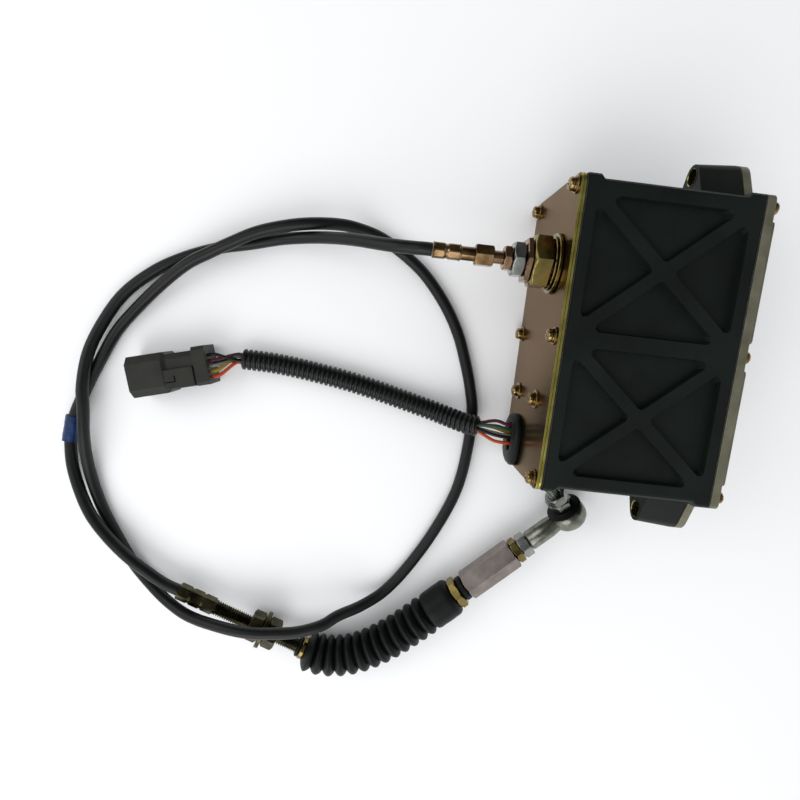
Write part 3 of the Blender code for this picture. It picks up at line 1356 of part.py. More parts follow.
def add_sliding_rod():
    """Barrel, nuts and rod end; local Z runs outwards and its zero is the eye's centre."""
    turn = frame_along(rod_direction(), Vector((0, 0, 1)))
    axis = axis_empty("rod_axis", EYE_CENTRE, turn)
    jam = -SHANK_END - GAP
    nut = jam - ROD_JAM - GAP
    barrel = nut - BARREL_NUT - GAP
    seal = barrel - BARREL - GAP
    boot = seal - BARREL_SEAL - GAP
    stud = 0.0045

    shape = bmesh.new()
    hex_nut(shape, ROD_JAM_FLATS, stud + GAP, jam - ROD_JAM, jam)
    add_piece("rod_jam_nut", shape, BRIGHT_ZINC, axis)
    shape = bmesh.new()
    hex_nut(shape, BARREL_NUT_FLATS, stud + GAP, nut - BARREL_NUT, nut)
    add_piece("barrel_nut", shape, BRASS, axis)
    shape = bmesh.new()
    rings = [
        round_station(barrel - BARREL, CORE_BORE),
        hex_station(barrel - BARREL, BARREL_FLATS, 0.97),
        hex_station(barrel - BARREL + 0.0012, BARREL_FLATS),
        hex_station(barrel - 0.0012, BARREL_FLATS),
        hex_station(barrel, BARREL_FLATS, 0.97),
        round_station(barrel, stud + GAP),
        round_station(barrel - 0.012, stud + GAP),
        round_station(barrel - 0.012, CORE_BORE),
    ]
    loft(shape, rings, closed=True)
    add_piece("barrel", shape, ALUMINIUM, axis)
    shape = bmesh.new()
    ring(shape, CORE_BORE, BARREL_SEAL_RADIUS, seal - BARREL_SEAL, seal)
    add_piece("barrel_seal", shape, RUBBER, axis)
    shape = bmesh.new()
    hex_nut(shape, BOOT_RING_FLATS, CORE_BORE, boot - BOOT_RING, boot, 0.04)
    add_piece("boot_ring", shape, BRASS, axis)

    shape = bmesh.new()
    front = EYE_FRONT
    cup = [(0.0, -EYE_BACK), (EYE_RADIUS * 0.62, -EYE_BACK), (EYE_RADIUS * 0.92, -EYE_BACK + 0.0015)]
    cup += [(EYE_RADIUS, -EYE_BACK + 0.0040), (EYE_RADIUS, front - 0.0012), (EYE_RADIUS * 0.94, front)]
    socket = BALL_RADIUS + SLIDE_GAP
    opening = math.asin(front / socket)
    for k in range(6):
        angle = opening - (opening + math.pi / 2) * k / 5
        cup.append((socket * math.cos(angle) if k < 5 else 0.0, socket * math.sin(angle)))
    turned(shape, cup, FINE)
    lean = (turn.inverted() @ stud_frame()).to_4x4()
    rod_end = add_piece("rod_end", shape, BRIGHT_ZINC, axis, lean)
    shank = bmesh.new()
    profile = [
        (0.0, -EYE_RADIUS + 0.0024),
        (SHANK_RADIUS * 0.80, -EYE_RADIUS + 0.0024),
        (SHANK_RADIUS * 0.80, -EYE_RADIUS - 0.0010),
        (SHANK_RADIUS, -EYE_RADIUS - 0.0040),
        (SHANK_RADIUS, -SHANK_END),
        (stud, -SHANK_END),
        (stud, barrel - 0.010),
        (0.0, barrel - 0.010),
    ]
    turned(shank, profile, 16)
    tool = add_tool("rod_shank", shank)
    tool.parent = axis
    join_or_cut(rod_end, tool, "UNION")
    return axis


def stud_frame():
    """Rotation that lays local Z along the ball stud."""
    level = Vector((-math.sin(ROD_TURN), math.cos(ROD_TURN), 0))
    ahead = level * math.cos(STUD_RISE) + Vector((0, 0, math.sin(STUD_RISE)))
    return frame_along(ahead, rod_direction())


def add_ball_stud():
    """Ball stud, its nut and its rubber boot; local Z runs along the stud from the ball's centre."""
    axis = axis_empty("stud_axis", EYE_CENTRE, stud_frame())
    shape = bmesh.new()
    profile = [(0.0, -BALL_RADIUS)]
    neck_angle = math.acos(STUD_NECK / BALL_RADIUS)
    for k in range(1, 7):
        angle = -math.pi / 2 + (neck_angle + math.pi / 2) * k / 6
        profile.append((BALL_RADIUS * math.cos(angle), BALL_RADIUS * math.sin(angle)))
    profile += [(STUD_NECK, STUD_HEX_START + 0.001), (0.0, STUD_HEX_START + 0.001)]
    turned(shape, profile, 16)
    stud = add_piece("ball_stud", shape, BRIGHT_ZINC, axis)
    upper = bmesh.new()
    low = STUD_HEX_START
    high = low + STUD_HEX
    rings = [
        hex_station(low, STUD_HEX_FLATS, 0.95),
        hex_station(low + 0.0008, STUD_HEX_FLATS),
        hex_station(high - 0.0008, STUD_HEX_FLATS),
        hex_station(high, STUD_HEX_FLATS, 0.95),
        round_station(high, STUD_THREAD_RADIUS),
        round_station(STUD_END - 0.0010, STUD_THREAD_RADIUS),
        round_station(STUD_END, STUD_THREAD_RADIUS * 0.8),
    ]
    loft(upper, rings)
    tool = add_tool("stud_upper", upper)
    tool.parent = axis
    join_or_cut(stud, tool, "UNION")
    shape = bmesh.new()
    hex_nut(shape, STUD_HEX_FLATS, STUD_THREAD_RADIUS + GAP, high + GAP, high + GAP + STUD_NUT)
    add_piece("stud_nut", shape, BRIGHT_ZINC, axis)
    shape = bmesh.new()
    base = EYE_FRONT + GAP
    throat = STUD_NECK + GAP
    top = STUD_HEX_START - GAP
    profile = [
        (BOOT_RADIUS - BOOT_WALL, base),
        (BOOT_RADIUS, base),
        (BOOT_RADIUS, base + 0.0008),
        (BOOT_RADIUS * 0.88, base + 0.0018),
        (throat + BOOT_WALL * 1.6, top),
        (throat, top),
        (throat, top - BOOT_WALL * 0.8),
        (BOOT_RADIUS * 0.80, base + 0.0007),
    ]
    turned(shape, profile, FINE, closed=True)
    add_piece("stud_boot", shape, RUBBER, axis)


def neck_outline(grow):
    """Outline of the grommet's opening in the plate, made larger or smaller."""
    half = [size / 2 + grow for size in GROMMET_NECK]
    corners = box_corners(half[0], half[1], (GROMMET_NECK_Y, GROMMET_NECK_Z))
    return rounded(corners, GROMMET_NECK_FILLET + grow, 3)


def flange_outline(inset):
    """Outline of the grommet's flange, drawn in by an inset."""
    half = [size / 2 - inset for size in GROMMET_SIZE]
    corners = box_corners(half[0], half[1], (GROMMET_Y, GROMMET_Z))
    return rounded(corners, GROMMET_FILLET - inset, 3)


def add_grommet():
    """Rubber grommet: a domed flange outside the plate, a neck in its hole and a lip inside."""
    outside = PLATE_OUTER - GAP
    inside = PLATE_INNER + GAP
    front = outside - GROMMET_FLANGE
    slot = box_corners(GROMMET_SLOT[0] / 2, GROMMET_SLOT[1] / 2, (GROMMET_NECK_Y, GROMMET_NECK_Z))
    slot = rounded(slot, GROMMET_SLOT[1] * 0.48, 3)
    rows = [
        (front, flange_outline(0.0030)),
        (outside - GROMMET_FLANGE * 0.75, flange_outline(0.0006)),
        (outside - GROMMET_FLANGE * 0.5, flange_outline(0.0)),
        (outside, flange_outline(0.0)),
        (outside, neck_outline(-GAP)),
        (inside, neck_outline(-GAP)),
        (inside, neck_outline(GROMMET_LIP)),
        (inside + 0.0016, neck_outline(-GAP * 2)),
        (inside + 0.0016, slot),
        (front, slot),
    ]
    shape = bmesh.new()
    loft(shape, [[(x, y, z) for y, z in outline] for x, outline in rows], closed=True)
    add_piece("grommet", shape, RUBBER)


CONDUIT_ROUTE = (
    (-0.0700, -0.0598, 0.0190),
    (-0.0790, -0.0588, 0.0155),
    (-0.0880, -0.0569, 0.0115),
    (-0.0980, -0.0545, 0.0085),
    (-0.1226, -0.0486, 0.0071),
    (-0.1370, -0.0452, 0.0070),
    (-0.1516, -0.0422, 0.0070),
    (-0.1670, -0.0397, 0.0070),
    (-0.1830, -0.0375, 0.0070),
    (-0.2000, -0.0358, 0.0074),
    (-0.2198, -0.0352, 0.0090),
)


def add_harness():
    """The bundle of wires from the grommet, the sleeve over it, and the bundle into the connector."""
    mouth = Vector(CONDUIT_ROUTE[0])
    outlet = Vector((PLATE_OUTER - GAP * 2 - GROMMET_FLANGE, GROMMET_Y + 0.002, GROMMET_Z - 0.001))
    into = (mouth - Vector(CONDUIT_ROUTE[1])).normalized()
    route = [outlet, outlet + Vector((-0.004, 0, 0)), mouth + into * 0.004, mouth + into * GAP * 2]
    add_cord("grommet_wires", [route], BUNDLE_RADIUS, 8, 2, RUBBER)
    add_cord("conduit", [CONDUIT_ROUTE], CONDUIT_RADIUS, 20, 3, RUBBER)
    tail = Vector(CONDUIT_ROUTE[-1])
    out_of = (tail - Vector(CONDUIT_ROUTE[-2])).normalized()
    back = connector_matrix() @ Vector((0, 0, -GAP))
    ahead = connector_matrix().to_3x3() @ Vector((0, 0, 1))
    route = [tail + out_of * GAP * 2, tail + out_of * 0.004, back - ahead * 0.004, back]
    add_cord("connector_wires", [route], BUNDLE_RADIUS, 8, 2, RUBBER)


def connector_matrix():
    """Place of the connector: local Z runs from its rear face to its mating face."""
    ahead = Vector((math.cos(CONNECTOR_TURN), math.sin(CONNECTOR_TURN), 0))
    return Matrix.Translation(CONNECTOR_PLACE) @ frame_along(ahead, Vector((0, 0, 1))).to_4x4()


def add_connector():
    """Six-way connector: a collar at the rear, a narrow body, and a chamfered hood around the contacts."""
    place = connector_matrix()
    shape = bmesh.new()

    def section(size, chamfer, height, aside=0.0):
        half_u, half_v = size[1] / 2, size[0] / 2
        corners = box_corners(half_u, half_v)
        points = []
        for k, (u, v) in enumerate(corners):
            cut = chamfer if u > 0 else chamfer * 0.25
            du = cut if u > 0 else -cut
            dv = cut if v > 0 else -cut
            pair = [(u - du, v), (u, v - dv)]
            points += pair if k in (1, 3) else list(reversed(pair))
        return [(u, v + aside, height) for u, v in points]

    collar = (REAR_SIZE[0] * 1.10, REAR_SIZE[1] * 1.08)
    hood = CONNECTOR_LENGTH - HOOD_LENGTH
    deep = CONNECTOR_LENGTH - 0.0170
    wall = 0.0018
    rings = [
        section(collar, 0.0020, 0.0, COLLAR_ASIDE),
        section(collar, 0.0020, COLLAR_LENGTH, COLLAR_ASIDE),
        section(REAR_SIZE, 0.0030, COLLAR_LENGTH),
        section(REAR_SIZE, 0.0030, hood - 0.0020),
        section(HOOD_SIZE, 0.0045, hood),
        section(HOOD_SIZE, 0.0045, CONNECTOR_LENGTH),
        section((HOOD_SIZE[0] - 2 * wall, HOOD_SIZE[1] - 2 * wall), 0.0038, CONNECTOR_LENGTH),
        section((HOOD_SIZE[0] - 2 * wall, HOOD_SIZE[1] - 2 * wall), 0.0038, deep),
    ]
    loft(shape, rings)
    body = add_piece("connector_body", shape, CONNECTOR_PLASTIC, turn=place)
    pins = bmesh.new()
    for row in (-0.0032, 0.0032):
        for column in (-0.0064, 0.0, 0.0064):
            outline = circle(PIN_RADIUS, 8, (row, column))
            slab(pins, outline, deep - 0.0010, CONNECTOR_LENGTH - 0.0035)
    join_or_cut(body, add_tool("connector_pins", pins, place), "UNION")


for item in list(bpy.data.objects):
    bpy.data.objects.remove(item, do_unlink=True)

add_housing()
add_lug_bushes()
add_end_plate()
add_gasket("plate_gasket", -CASE_X / 2 - GAP - GASKET, PLATE_CORNER, plate_screw_places())
add_back_cover()
add_gasket("cover_gasket", CASE_X / 2 + GAP, CASE_CORNER, screw_places())
near_end_x = add_gland()
add_chassis()
add_top_plate()
add_gears()
add_bushings()
add_motor()
add_sensor()
add_rack()
add_cable(near_end_x)
bellows_start = add_far_hub()
add_bellows(bellows_start)
add_core_wire(bellows_start)
add_sliding_rod()
add_ball_stud()
add_grommet()
add_harness()
add_connector()
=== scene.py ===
import math

import bmesh
import bpy
from mathutils import Euler, Matrix, Vector, noise


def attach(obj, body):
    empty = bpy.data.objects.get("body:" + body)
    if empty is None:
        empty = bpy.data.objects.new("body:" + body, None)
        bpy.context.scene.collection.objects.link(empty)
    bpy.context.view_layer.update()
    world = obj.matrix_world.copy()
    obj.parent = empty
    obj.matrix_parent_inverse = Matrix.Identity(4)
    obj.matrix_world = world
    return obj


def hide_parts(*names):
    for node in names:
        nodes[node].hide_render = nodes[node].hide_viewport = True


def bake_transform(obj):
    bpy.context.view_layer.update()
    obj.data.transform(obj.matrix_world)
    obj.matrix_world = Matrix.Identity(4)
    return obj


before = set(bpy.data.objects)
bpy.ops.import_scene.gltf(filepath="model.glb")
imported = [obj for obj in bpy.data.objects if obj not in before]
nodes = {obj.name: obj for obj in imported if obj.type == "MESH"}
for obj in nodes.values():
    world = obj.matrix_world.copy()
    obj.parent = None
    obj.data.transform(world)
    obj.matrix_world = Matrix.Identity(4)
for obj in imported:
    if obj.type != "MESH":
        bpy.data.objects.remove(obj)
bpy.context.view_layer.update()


# Studio: the actuator lies on a white table and is seen from above, a little from its cable side. The lamps
# are large and soft. Metal sees a backdrop that is white near the table, grey overhead and dark beyond the
# table's far edge, which gives its flats their two tones; the camera sees the same one without the dark side.
LENS = 25.45
CAMERA_TURN = (0.1266, 0.0335, -0.1104)
CAMERA_PLACE = (-0.1316, -0.0048, 0.3635)

camera = bpy.data.objects.new("camera", bpy.data.cameras.new("camera"))
camera.data.lens = LENS
camera.data.sensor_width = 36.0
camera.data.clip_start = 0.01
bpy.context.scene.collection.objects.link(camera)
turned_view = Euler(CAMERA_TURN, "XYZ").to_matrix().transposed()
camera.matrix_world = Matrix.Translation(CAMERA_PLACE) @ turned_view.to_4x4()
bpy.context.scene.camera = camera
bpy.context.scene.view_settings.view_transform = "Standard"


def linear(code):
    """The linear colour of an sRGB hex value."""
    parts = [int(code[k:k + 2], 16) / 255 for k in (1, 3, 5)]
    return (*[p / 12.92 if p < 0.04045 else ((p + 0.055) / 1.055) ** 2.4 for p in parts], 1.0)


def add_node(tree, kind, values=None, links=None, **settings):
    """One shader node with its settings, its socket values and its links."""
    made = tree.nodes.new(kind)
    for key, value in settings.items():
        setattr(made, key, value)
    for key, value in (values or {}).items():
        made.inputs[key].default_value = value
    for key, socket in (links or {}).items():
        tree.links.new(socket, made.inputs[key])
    return made


world = bpy.data.worlds.new("studio")
bpy.context.scene.world = world
world.use_nodes = True
sky = world.node_tree
sky.nodes.clear()
ray = add_node(sky, "ShaderNodeLightPath")
seen = add_node(sky, "ShaderNodeMath", links={0: ray.outputs["Is Camera Ray"], 1: ray.outputs["Is Glossy Ray"]},
                operation="MAXIMUM")
seen = add_node(sky, "ShaderNodeMath", links={0: seen.outputs[0], 1: ray.outputs["Is Transmission Ray"]},
                operation="MAXIMUM")
dim = add_node(sky, "ShaderNodeBackground", {"Color": linear("#f2f4f7"), "Strength": 0.8})
toward = add_node(sky, "ShaderNodeTexCoord")
direction = add_node(sky, "ShaderNodeSeparateXYZ", links={0: toward.outputs["Generated"]})
fall = add_node(sky, "ShaderNodeMapRange", {"From Min": 0.12, "From Max": 0.92, "To Min": 1.0, "To Max": 0.24},
                {"Value": direction.outputs["Z"]}, interpolation_type="SMOOTHSTEP")
far_side = add_node(sky, "ShaderNodeMapRange", {"From Min": -0.05, "From Max": 0.8, "To Min": 1.0,
                                                "To Max": 0.12},
                    {"Value": direction.outputs["Y"]}, interpolation_type="SMOOTHSTEP")
far_side = add_node(sky, "ShaderNodeMath", links={0: far_side.outputs[0], 1: ray.outputs["Is Camera Ray"]},
                    operation="MAXIMUM")
fall = add_node(sky, "ShaderNodeMath", links={0: fall.outputs[0], 1: far_side.outputs[0]}, operation="MULTIPLY")
bright = add_node(sky, "ShaderNodeBackground", {"Color": (1.0, 1.0, 1.0, 1.0)}, {"Strength": fall.outputs[0]})
mixed = add_node(sky, "ShaderNodeMixShader", links={0: seen.outputs[0], 1: dim.outputs[0],
                                                    2: bright.outputs[0]})
add_node(sky, "ShaderNodeOutputWorld", links={"Surface": mixed.outputs[0]})

# Each lamp: its name, place, size in metres and watts. Both look at the middle of the object.
LAMP_AIM = Vector((-0.12, -0.04, 0.02))
LAMPS = (
    ("front_softbox", (-0.35, -0.85, 0.85), 0.9, 5.5),
    ("side_softbox", (-0.95, 0.15, 0.75), 0.7, 2.6),
)
for name, place, size, power in LAMPS:
    lamp = bpy.data.objects.new(name, bpy.data.lights.new(name, "AREA"))
    lamp.data.size = size
    lamp.data.energy = power
    lamp.location = place
    lamp.rotation_euler = (LAMP_AIM - Vector(place)).to_track_quat("-Z", "Y").to_euler()
    bpy.context.scene.collection.objects.link(lamp)

sheet = bmesh.new()
bmesh.ops.create_grid(sheet, x_segments=2, y_segments=2, size=3.0)
floor_mesh = bpy.data.meshes.new("floor")
sheet.to_mesh(floor_mesh)
sheet.free()
floor = bpy.data.objects.new("floor", floor_mesh)
bpy.context.scene.collection.objects.link(floor)
floor_paper = bpy.data.materials.new("white_paper")
floor_paper.use_nodes = True
paper = floor_paper.node_tree
paper.nodes["Principled BSDF"].inputs["Base Color"].default_value = linear("#fbfbfb")
paper.nodes["Principled BSDF"].inputs["Roughness"].default_value = 0.9
floor_mesh.materials.append(floor_paper)
FLOOR_CLEARANCE = 0.0002
floor.location = (0.0, 0.0, -FLOOR_CLEARANCE)


# Control cable: a steel core in a black extruded nylon jacket, Ø7.3 mm, which leaves the ferrule, falls to
# the table and lies in nearly two turns. A dull satin black with faint lengthwise die lines.
CABLE_RADIUS = 0.00365
FERRULE_END = Vector((-0.1135, 0.0380, 0.0560))
FAR_HUB = Vector((-0.2483, -0.1890, 0.0129))
FAR_TURN = math.radians(-20.7)
FAR_AHEAD = Vector((math.cos(FAR_TURN), math.sin(FAR_TURN), 0.0))
CABLE_LAY = (
    (-0.1225, 0.0380, 0.0546), (-0.1359, 0.0385, 0.0500), (-0.1590, 0.0413, 0.0340),
    (-0.1802, 0.0420, 0.0190), (-0.2010, 0.0399, 0.0110), (-0.2215, 0.0351, 0.0070),
    (-0.2406, 0.0307, 0.0050), (-0.2612, 0.0228, 0.0040), (-0.2790, 0.0126, 0.0040),
    (-0.2966, -0.0033, 0.0045), (-0.3080, -0.0223, 0.0060), (-0.3147, -0.0420, 0.0090),
    (-0.3160, -0.0633, 0.0120), (-0.3147, -0.0757, 0.0124), (-0.3145, -0.0919, 0.0110),
    (-0.3141, -0.1040, 0.0085), (-0.3115, -0.1208, 0.0055), (-0.3040, -0.1419, 0.0040),
    (-0.2934, -0.1604, 0.0040), (-0.2830, -0.1760, 0.0042), (-0.2703, -0.1888, 0.0060),
    (-0.2560, -0.1983, 0.0105), (-0.2392, -0.2034, 0.0175), (-0.2153, -0.2046, 0.0252),
    (-0.1975, -0.2047, 0.0282), (-0.1812, -0.2031, 0.0287), (-0.1669, -0.2009, 0.0280),
    (-0.1529, -0.1960, 0.0262), (-0.1443, -0.1921, 0.0205), (-0.1290, -0.1876, 0.0115),
    (-0.1147, -0.1782, 0.0060), (-0.0998, -0.1583, 0.0040), (-0.0858, -0.1318, 0.0040),
    (-0.0760, -0.1057, 0.0040), (-0.0724, -0.0797, 0.0040), (-0.0724, -0.0532, 0.0040),
    (-0.0758, -0.0373, 0.0040), (-0.0811, -0.0211, 0.0040), (-0.0877, -0.0047, 0.0040),
    (-0.0981, 0.0124, 0.0040), (-0.1128, 0.0293, 0.0040), (-0.1270, 0.0400, 0.0042),
    (-0.1420, 0.0480, 0.0055), (-0.1532, 0.0510, 0.0080), (-0.1652, 0.0521, 0.0120),
    (-0.1812, 0.0502, 0.0175), (-0.1967, 0.0471, 0.0185), (-0.2154, 0.0413, 0.0170),
    (-0.2313, 0.0334, 0.0150), (-0.2437, 0.0266, 0.0132), (-0.2567, 0.0189, 0.0115),
    (-0.2725, 0.0053, 0.0080), (-0.2882, -0.0113, 0.0050), (-0.3001, -0.0269, 0.0040),
    (-0.3092, -0.0455, 0.0040), (-0.3180, -0.0668, 0.0045), (-0.3246, -0.0890, 0.0052),
    (-0.3240, -0.1104, 0.0058), (-0.3177, -0.1281, 0.0080), (-0.3076, -0.1449, 0.0110),
    (-0.2954, -0.1582, 0.0125), (-0.2819, -0.1700, 0.0129), (-0.2696, -0.1784, 0.0129),
)


def smooth_line(points, step):
    """Even points, step apart, on a smooth curve through the given ones."""
    points = [Vector(p) for p in points]
    last = len(points) - 1
    dense = []
    for k in range(last):
        start, end = points[k], points[k + 1]
        reach = (end - start).length
        leave = (end - points[k - 1]).normalized() * reach if k else end - start
        arrive = (points[k + 2] - start).normalized() * reach if k < last - 1 else end - start
        for j in range(24):
            t = j / 24
            dense.append(start * (2 * t**3 - 3 * t**2 + 1) + leave * (t**3 - 2 * t**2 + t)
                         + end * (3 * t**2 - 2 * t**3) + arrive * (t**3 - t**2))
    dense.append(points[-1])
    travelled = [0.0]
    for a, b in zip(dense, dense[1:]):
        travelled.append(travelled[-1] + (b - a).length)
    count = max(2, round(travelled[-1] / step))
    even = []
    k = 0
    for j in range(count + 1):
        wanted = travelled[-1] * j / count
        while k < len(travelled) - 2 and travelled[k + 1] < wanted:
            k += 1
        share = (wanted - travelled[k]) / (travelled[k + 1] - travelled[k])
        even.append(dense[k].lerp(dense[k + 1], min(1.0, share)))
    return even


def surface(name, tints, rough, patch, grain, relief, metallic=0.0, speck=None, **fixed):
    """A finish with patches of tint, a fine grain in relief and a roughness that varies with both.

    tints are hex colours from the darkest patches to the lightest, rough the least and greatest roughness,
    patch and grain the size of the patches and of the grain, and relief its depth, all in millimetres."""
    made = bpy.data.materials.new(name)
    made.use_nodes = True
    tree = made.node_tree
    shader = tree.nodes["Principled BSDF"]
    where = add_node(tree, "ShaderNodeTexCoord")
    in_mm = add_node(tree, "ShaderNodeMapping", {"Scale": (1000, 1000, 1000)},
                     {"Vector": where.outputs["Object"]})
    patches = add_node(tree, "ShaderNodeTexNoise", {"Scale": 1 / patch, "Detail": 5.0, "Roughness": 0.55},
                       {"Vector": in_mm.outputs["Vector"]})
    fine = add_node(tree, "ShaderNodeTexNoise", {"Scale": 1 / grain, "Detail": 3.0, "Roughness": 0.6},
                    {"Vector": in_mm.outputs["Vector"]})
    ramp = add_node(tree, "ShaderNodeValToRGB", links={"Fac": patches.outputs[0]})
    ramp.color_ramp.elements[0].position = 0.36
    ramp.color_ramp.elements[1].position = 0.64
    ramp.color_ramp.elements[0].color = linear(tints[0])
    ramp.color_ramp.elements[1].color = linear(tints[-1])
    for k in range(1, len(tints) - 1):
        ramp.color_ramp.elements.new(0.36 + 0.28 * k / (len(tints) - 1)).color = linear(tints[k])
    colour = ramp.outputs[0]
    if speck:
        spots = add_node(tree, "ShaderNodeMapRange", {"From Min": 0.58, "From Max": 0.72},
                         {"Value": fine.outputs[0]})
        part = add_node(tree, "ShaderNodeMath", {1: speck[1]}, {0: spots.outputs[0]}, operation="MULTIPLY")
        blend = add_node(tree, "ShaderNodeMix", links={"Factor": part.outputs[0], 6: colour}, data_type="RGBA")
        blend.inputs[7].default_value = linear(speck[0])
        colour = blend.outputs[2]
    tree.links.new(colour, shader.inputs["Base Color"])
    both = add_node(tree, "ShaderNodeMix", {"Factor": 0.5}, {2: patches.outputs[0], 3: fine.outputs[0]})
    gloss = add_node(tree, "ShaderNodeMapRange", {"From Min": 0.35, "From Max": 0.65, "To Min": rough[0],
                                                  "To Max": rough[1]}, {"Value": both.outputs[0]})
    tree.links.new(gloss.outputs[0], shader.inputs["Roughness"])
    bump = add_node(tree, "ShaderNodeBump", {"Distance": relief / 1000, "Strength": 1.0},
                    {"Height": fine.outputs[0]})
    tree.links.new(bump.outputs[0], shader.inputs["Normal"])
    shader.inputs["Metallic"].default_value = metallic
    for key, value in fixed.items():
        shader.inputs[key.replace("_", " ")].default_value = value
    return made


# Nylon jacket, extruded: satin, near black with a slight green cast, hazed by handling.
jacket_nylon = surface("extruded_nylon_jacket", ("#050806", "#080c09", "#0c100d"), (0.36, 0.5), 26.0, 0.8, 0.02,
                       speck=("#1c211e", 0.35), Specular_IOR_Level=0.35)
cable_line = smooth_line([FERRULE_END, FERRULE_END + Vector((-0.004, 0, 0)), *CABLE_LAY,
                          FAR_HUB - 0.010 * FAR_AHEAD, FAR_HUB - 0.0003 * FAR_AHEAD], 0.0025)
cable_curve = bpy.data.curves.new("cable_jacket", "CURVE")
cable_curve.dimensions = "3D"
cable_curve.bevel_depth = CABLE_RADIUS
cable_curve.bevel_resolution = 6
cable_curve.use_fill_caps = True
run = cable_curve.splines.new("POLY")
run.points.add(len(cable_line) - 1)
for point, place in zip(run.points, cable_line):
    point.co = (*place, 1.0)
cable_curve.materials.append(jacket_nylon)
cable_jacket = bpy.data.objects.new("cable_jacket", cable_curve)
bpy.context.scene.collection.objects.link(cable_jacket)
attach(cable_jacket, "case")
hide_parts("control_cable")


# Marking band: two turns of blue PVC tape, 16.5 mm wide, wound round the cable near its far bend, with the
# wrinkles and the lifted edge of tape that has been wound by hand.
TAPE_RADIUS = (0.00395, 0.00440)
TAPE_WIDTH = 0.0165
TAPE_SHARE = 0.893


def lathe(profile, steps=48, closed=False):
    """A turned blank about Z from (radius, height) pairs, with its ends closed on the axis."""
    blank = bmesh.new()
    verts = [blank.verts.new((max(r, 0.0), 0.0, z)) for r, z in profile]
    rims = list(zip(verts, verts[1:])) + ([(verts[-1], verts[0])] if closed else [])
    edges = [blank.edges.new(pair) for pair in rims]
    bmesh.ops.spin(blank, geom=verts + edges, cent=(0, 0, 0), axis=(0, 0, 1), angle=2 * math.pi, steps=steps,
                   use_merge=True, use_duplicate=False)
    bmesh.ops.remove_doubles(blank, verts=blank.verts, dist=1e-7)
    bmesh.ops.recalc_face_normals(blank, faces=blank.faces)
    if blank.calc_volume(signed=True) < 0:
        bmesh.ops.reverse_faces(blank, faces=blank.faces)
    return blank


def lay_along(blank, line):
    """Bend a straight blank, built along Z, so that its axis follows a line of even points."""
    step = (line[1] - line[0]).length
    for vert in blank.verts:
        share = min(max(vert.co.z / step, 0.0), len(line) - 1.001)
        k = int(share)
        place = line[k].lerp(line[k + 1], vert.co.z / step - k)
        before = line[max(k - 1, 0)]
        after = line[min(k + 2, len(line) - 1)]
        ahead = (line[k + 1] - before).lerp(after - line[k], share - k).normalized()
        across = ahead.cross(Vector((0, 0, 1))).normalized()
        rise = across.cross(ahead)
        vert.co = place + rise * vert.co.x + across * vert.co.y
    return blank


def make_piece(name, shape, finish, body, stands_for=(), place=None, sharp=32, flat=False):
    """Turn a finished bmesh into a piece with its material, its body and the CAD node that it stands for.

    body is None for a piece that is left without a body, place moves the blank from its own axis, and flat keeps
    the shading of large faces even where narrow rounded edges meet them."""
    if place is not None:
        shape.transform(place)
    bmesh.ops.recalc_face_normals(shape, faces=shape.faces)
    if shape.calc_volume(signed=True) < 0:
        bmesh.ops.reverse_faces(shape, faces=shape.faces)
    mesh = bpy.data.meshes.new(name)
    shape.to_mesh(mesh)
    shape.free()
    mesh.shade_smooth()
    mesh.set_sharp_from_angle(angle=math.radians(sharp))
    mesh.materials.append(finish)
    piece = bpy.data.objects.new(name, mesh)
    bpy.context.scene.collection.objects.link(piece)
    if flat:
        even = piece.modifiers.new("even_faces", "WEIGHTED_NORMAL")
        even.keep_sharp = True
    if body:
        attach(piece, body)
    if stands_for:
        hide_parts(*stands_for)
    return piece


tape_at = round(TAPE_SHARE * (len(cable_line) - 1))
tape_ahead = (cable_line[tape_at + 3] - cable_line[tape_at - 3]).normalized()
tape_profile = [(TAPE_RADIUS[0], -TAPE_WIDTH / 2), (TAPE_RADIUS[1], -TAPE_WIDTH / 2)]
tape_profile += [(TAPE_RADIUS[1] + 0.00005 * math.sin(k * 1.9), TAPE_WIDTH * (k / 14 - 0.5))
                 for k in range(1, 14)]
tape_profile += [(TAPE_RADIUS[1], TAPE_WIDTH / 2), (TAPE_RADIUS[0], TAPE_WIDTH / 2)]
tape_profile += [(TAPE_RADIUS[0], TAPE_WIDTH * (0.5 - k / 4)) for k in range(1, 4)]
tape = lathe(tape_profile, 40, closed=True)
tape_step = TAPE_WIDTH / 3
for vert in tape.verts:
    if math.hypot(vert.co.x, vert.co.y) > TAPE_RADIUS[0] + 0.0002:
        angle = math.atan2(vert.co.y, vert.co.x)
        lap = 1.035 if 0.3 < angle < 2.2 else 1.0
        crease = 1 + 0.012 * math.sin(5 * angle + vert.co.z * 700)
        vert.co.x *= lap * crease
        vert.co.y *= lap * crease
tape_line = [cable_line[tape_at] + tape_ahead * (tape_step * (k - 2)) for k in range(5)]
for vert in tape.verts:
    vert.co.z += 2 * tape_step
lay_along(tape, tape_line)
# PVC tape: an even satin blue with a slightly grained face.
tape_pvc = surface("blue_pvc_tape", ("#0b2549", "#0e2e5d", "#13386c"), (0.3, 0.42), 8.0, 0.6, 0.02,
                   Specular_IOR_Level=0.4)
make_piece("tape_wrap", tape, tape_pvc, "case", ["tape_band"])


# Housing: a pressure die casting in aluminium alloy, painted black at the works. The lid has two pairs of
# crossed ribs and a lug with a steel bush stands on either end; every cast edge is rounded.
EDGE_ROUND = 0.0005

# Black baked paint over a cast skin: dull, with a slight green cast and the fine pebble of the casting.
black_paint = surface("black_paint_on_cast_aluminium", ("#070e0a", "#09120d", "#0c1611"), (0.44, 0.58), 30.0,
                      0.42, 0.03, speck=("#28302b", 0.14), Specular_IOR_Level=0.25)


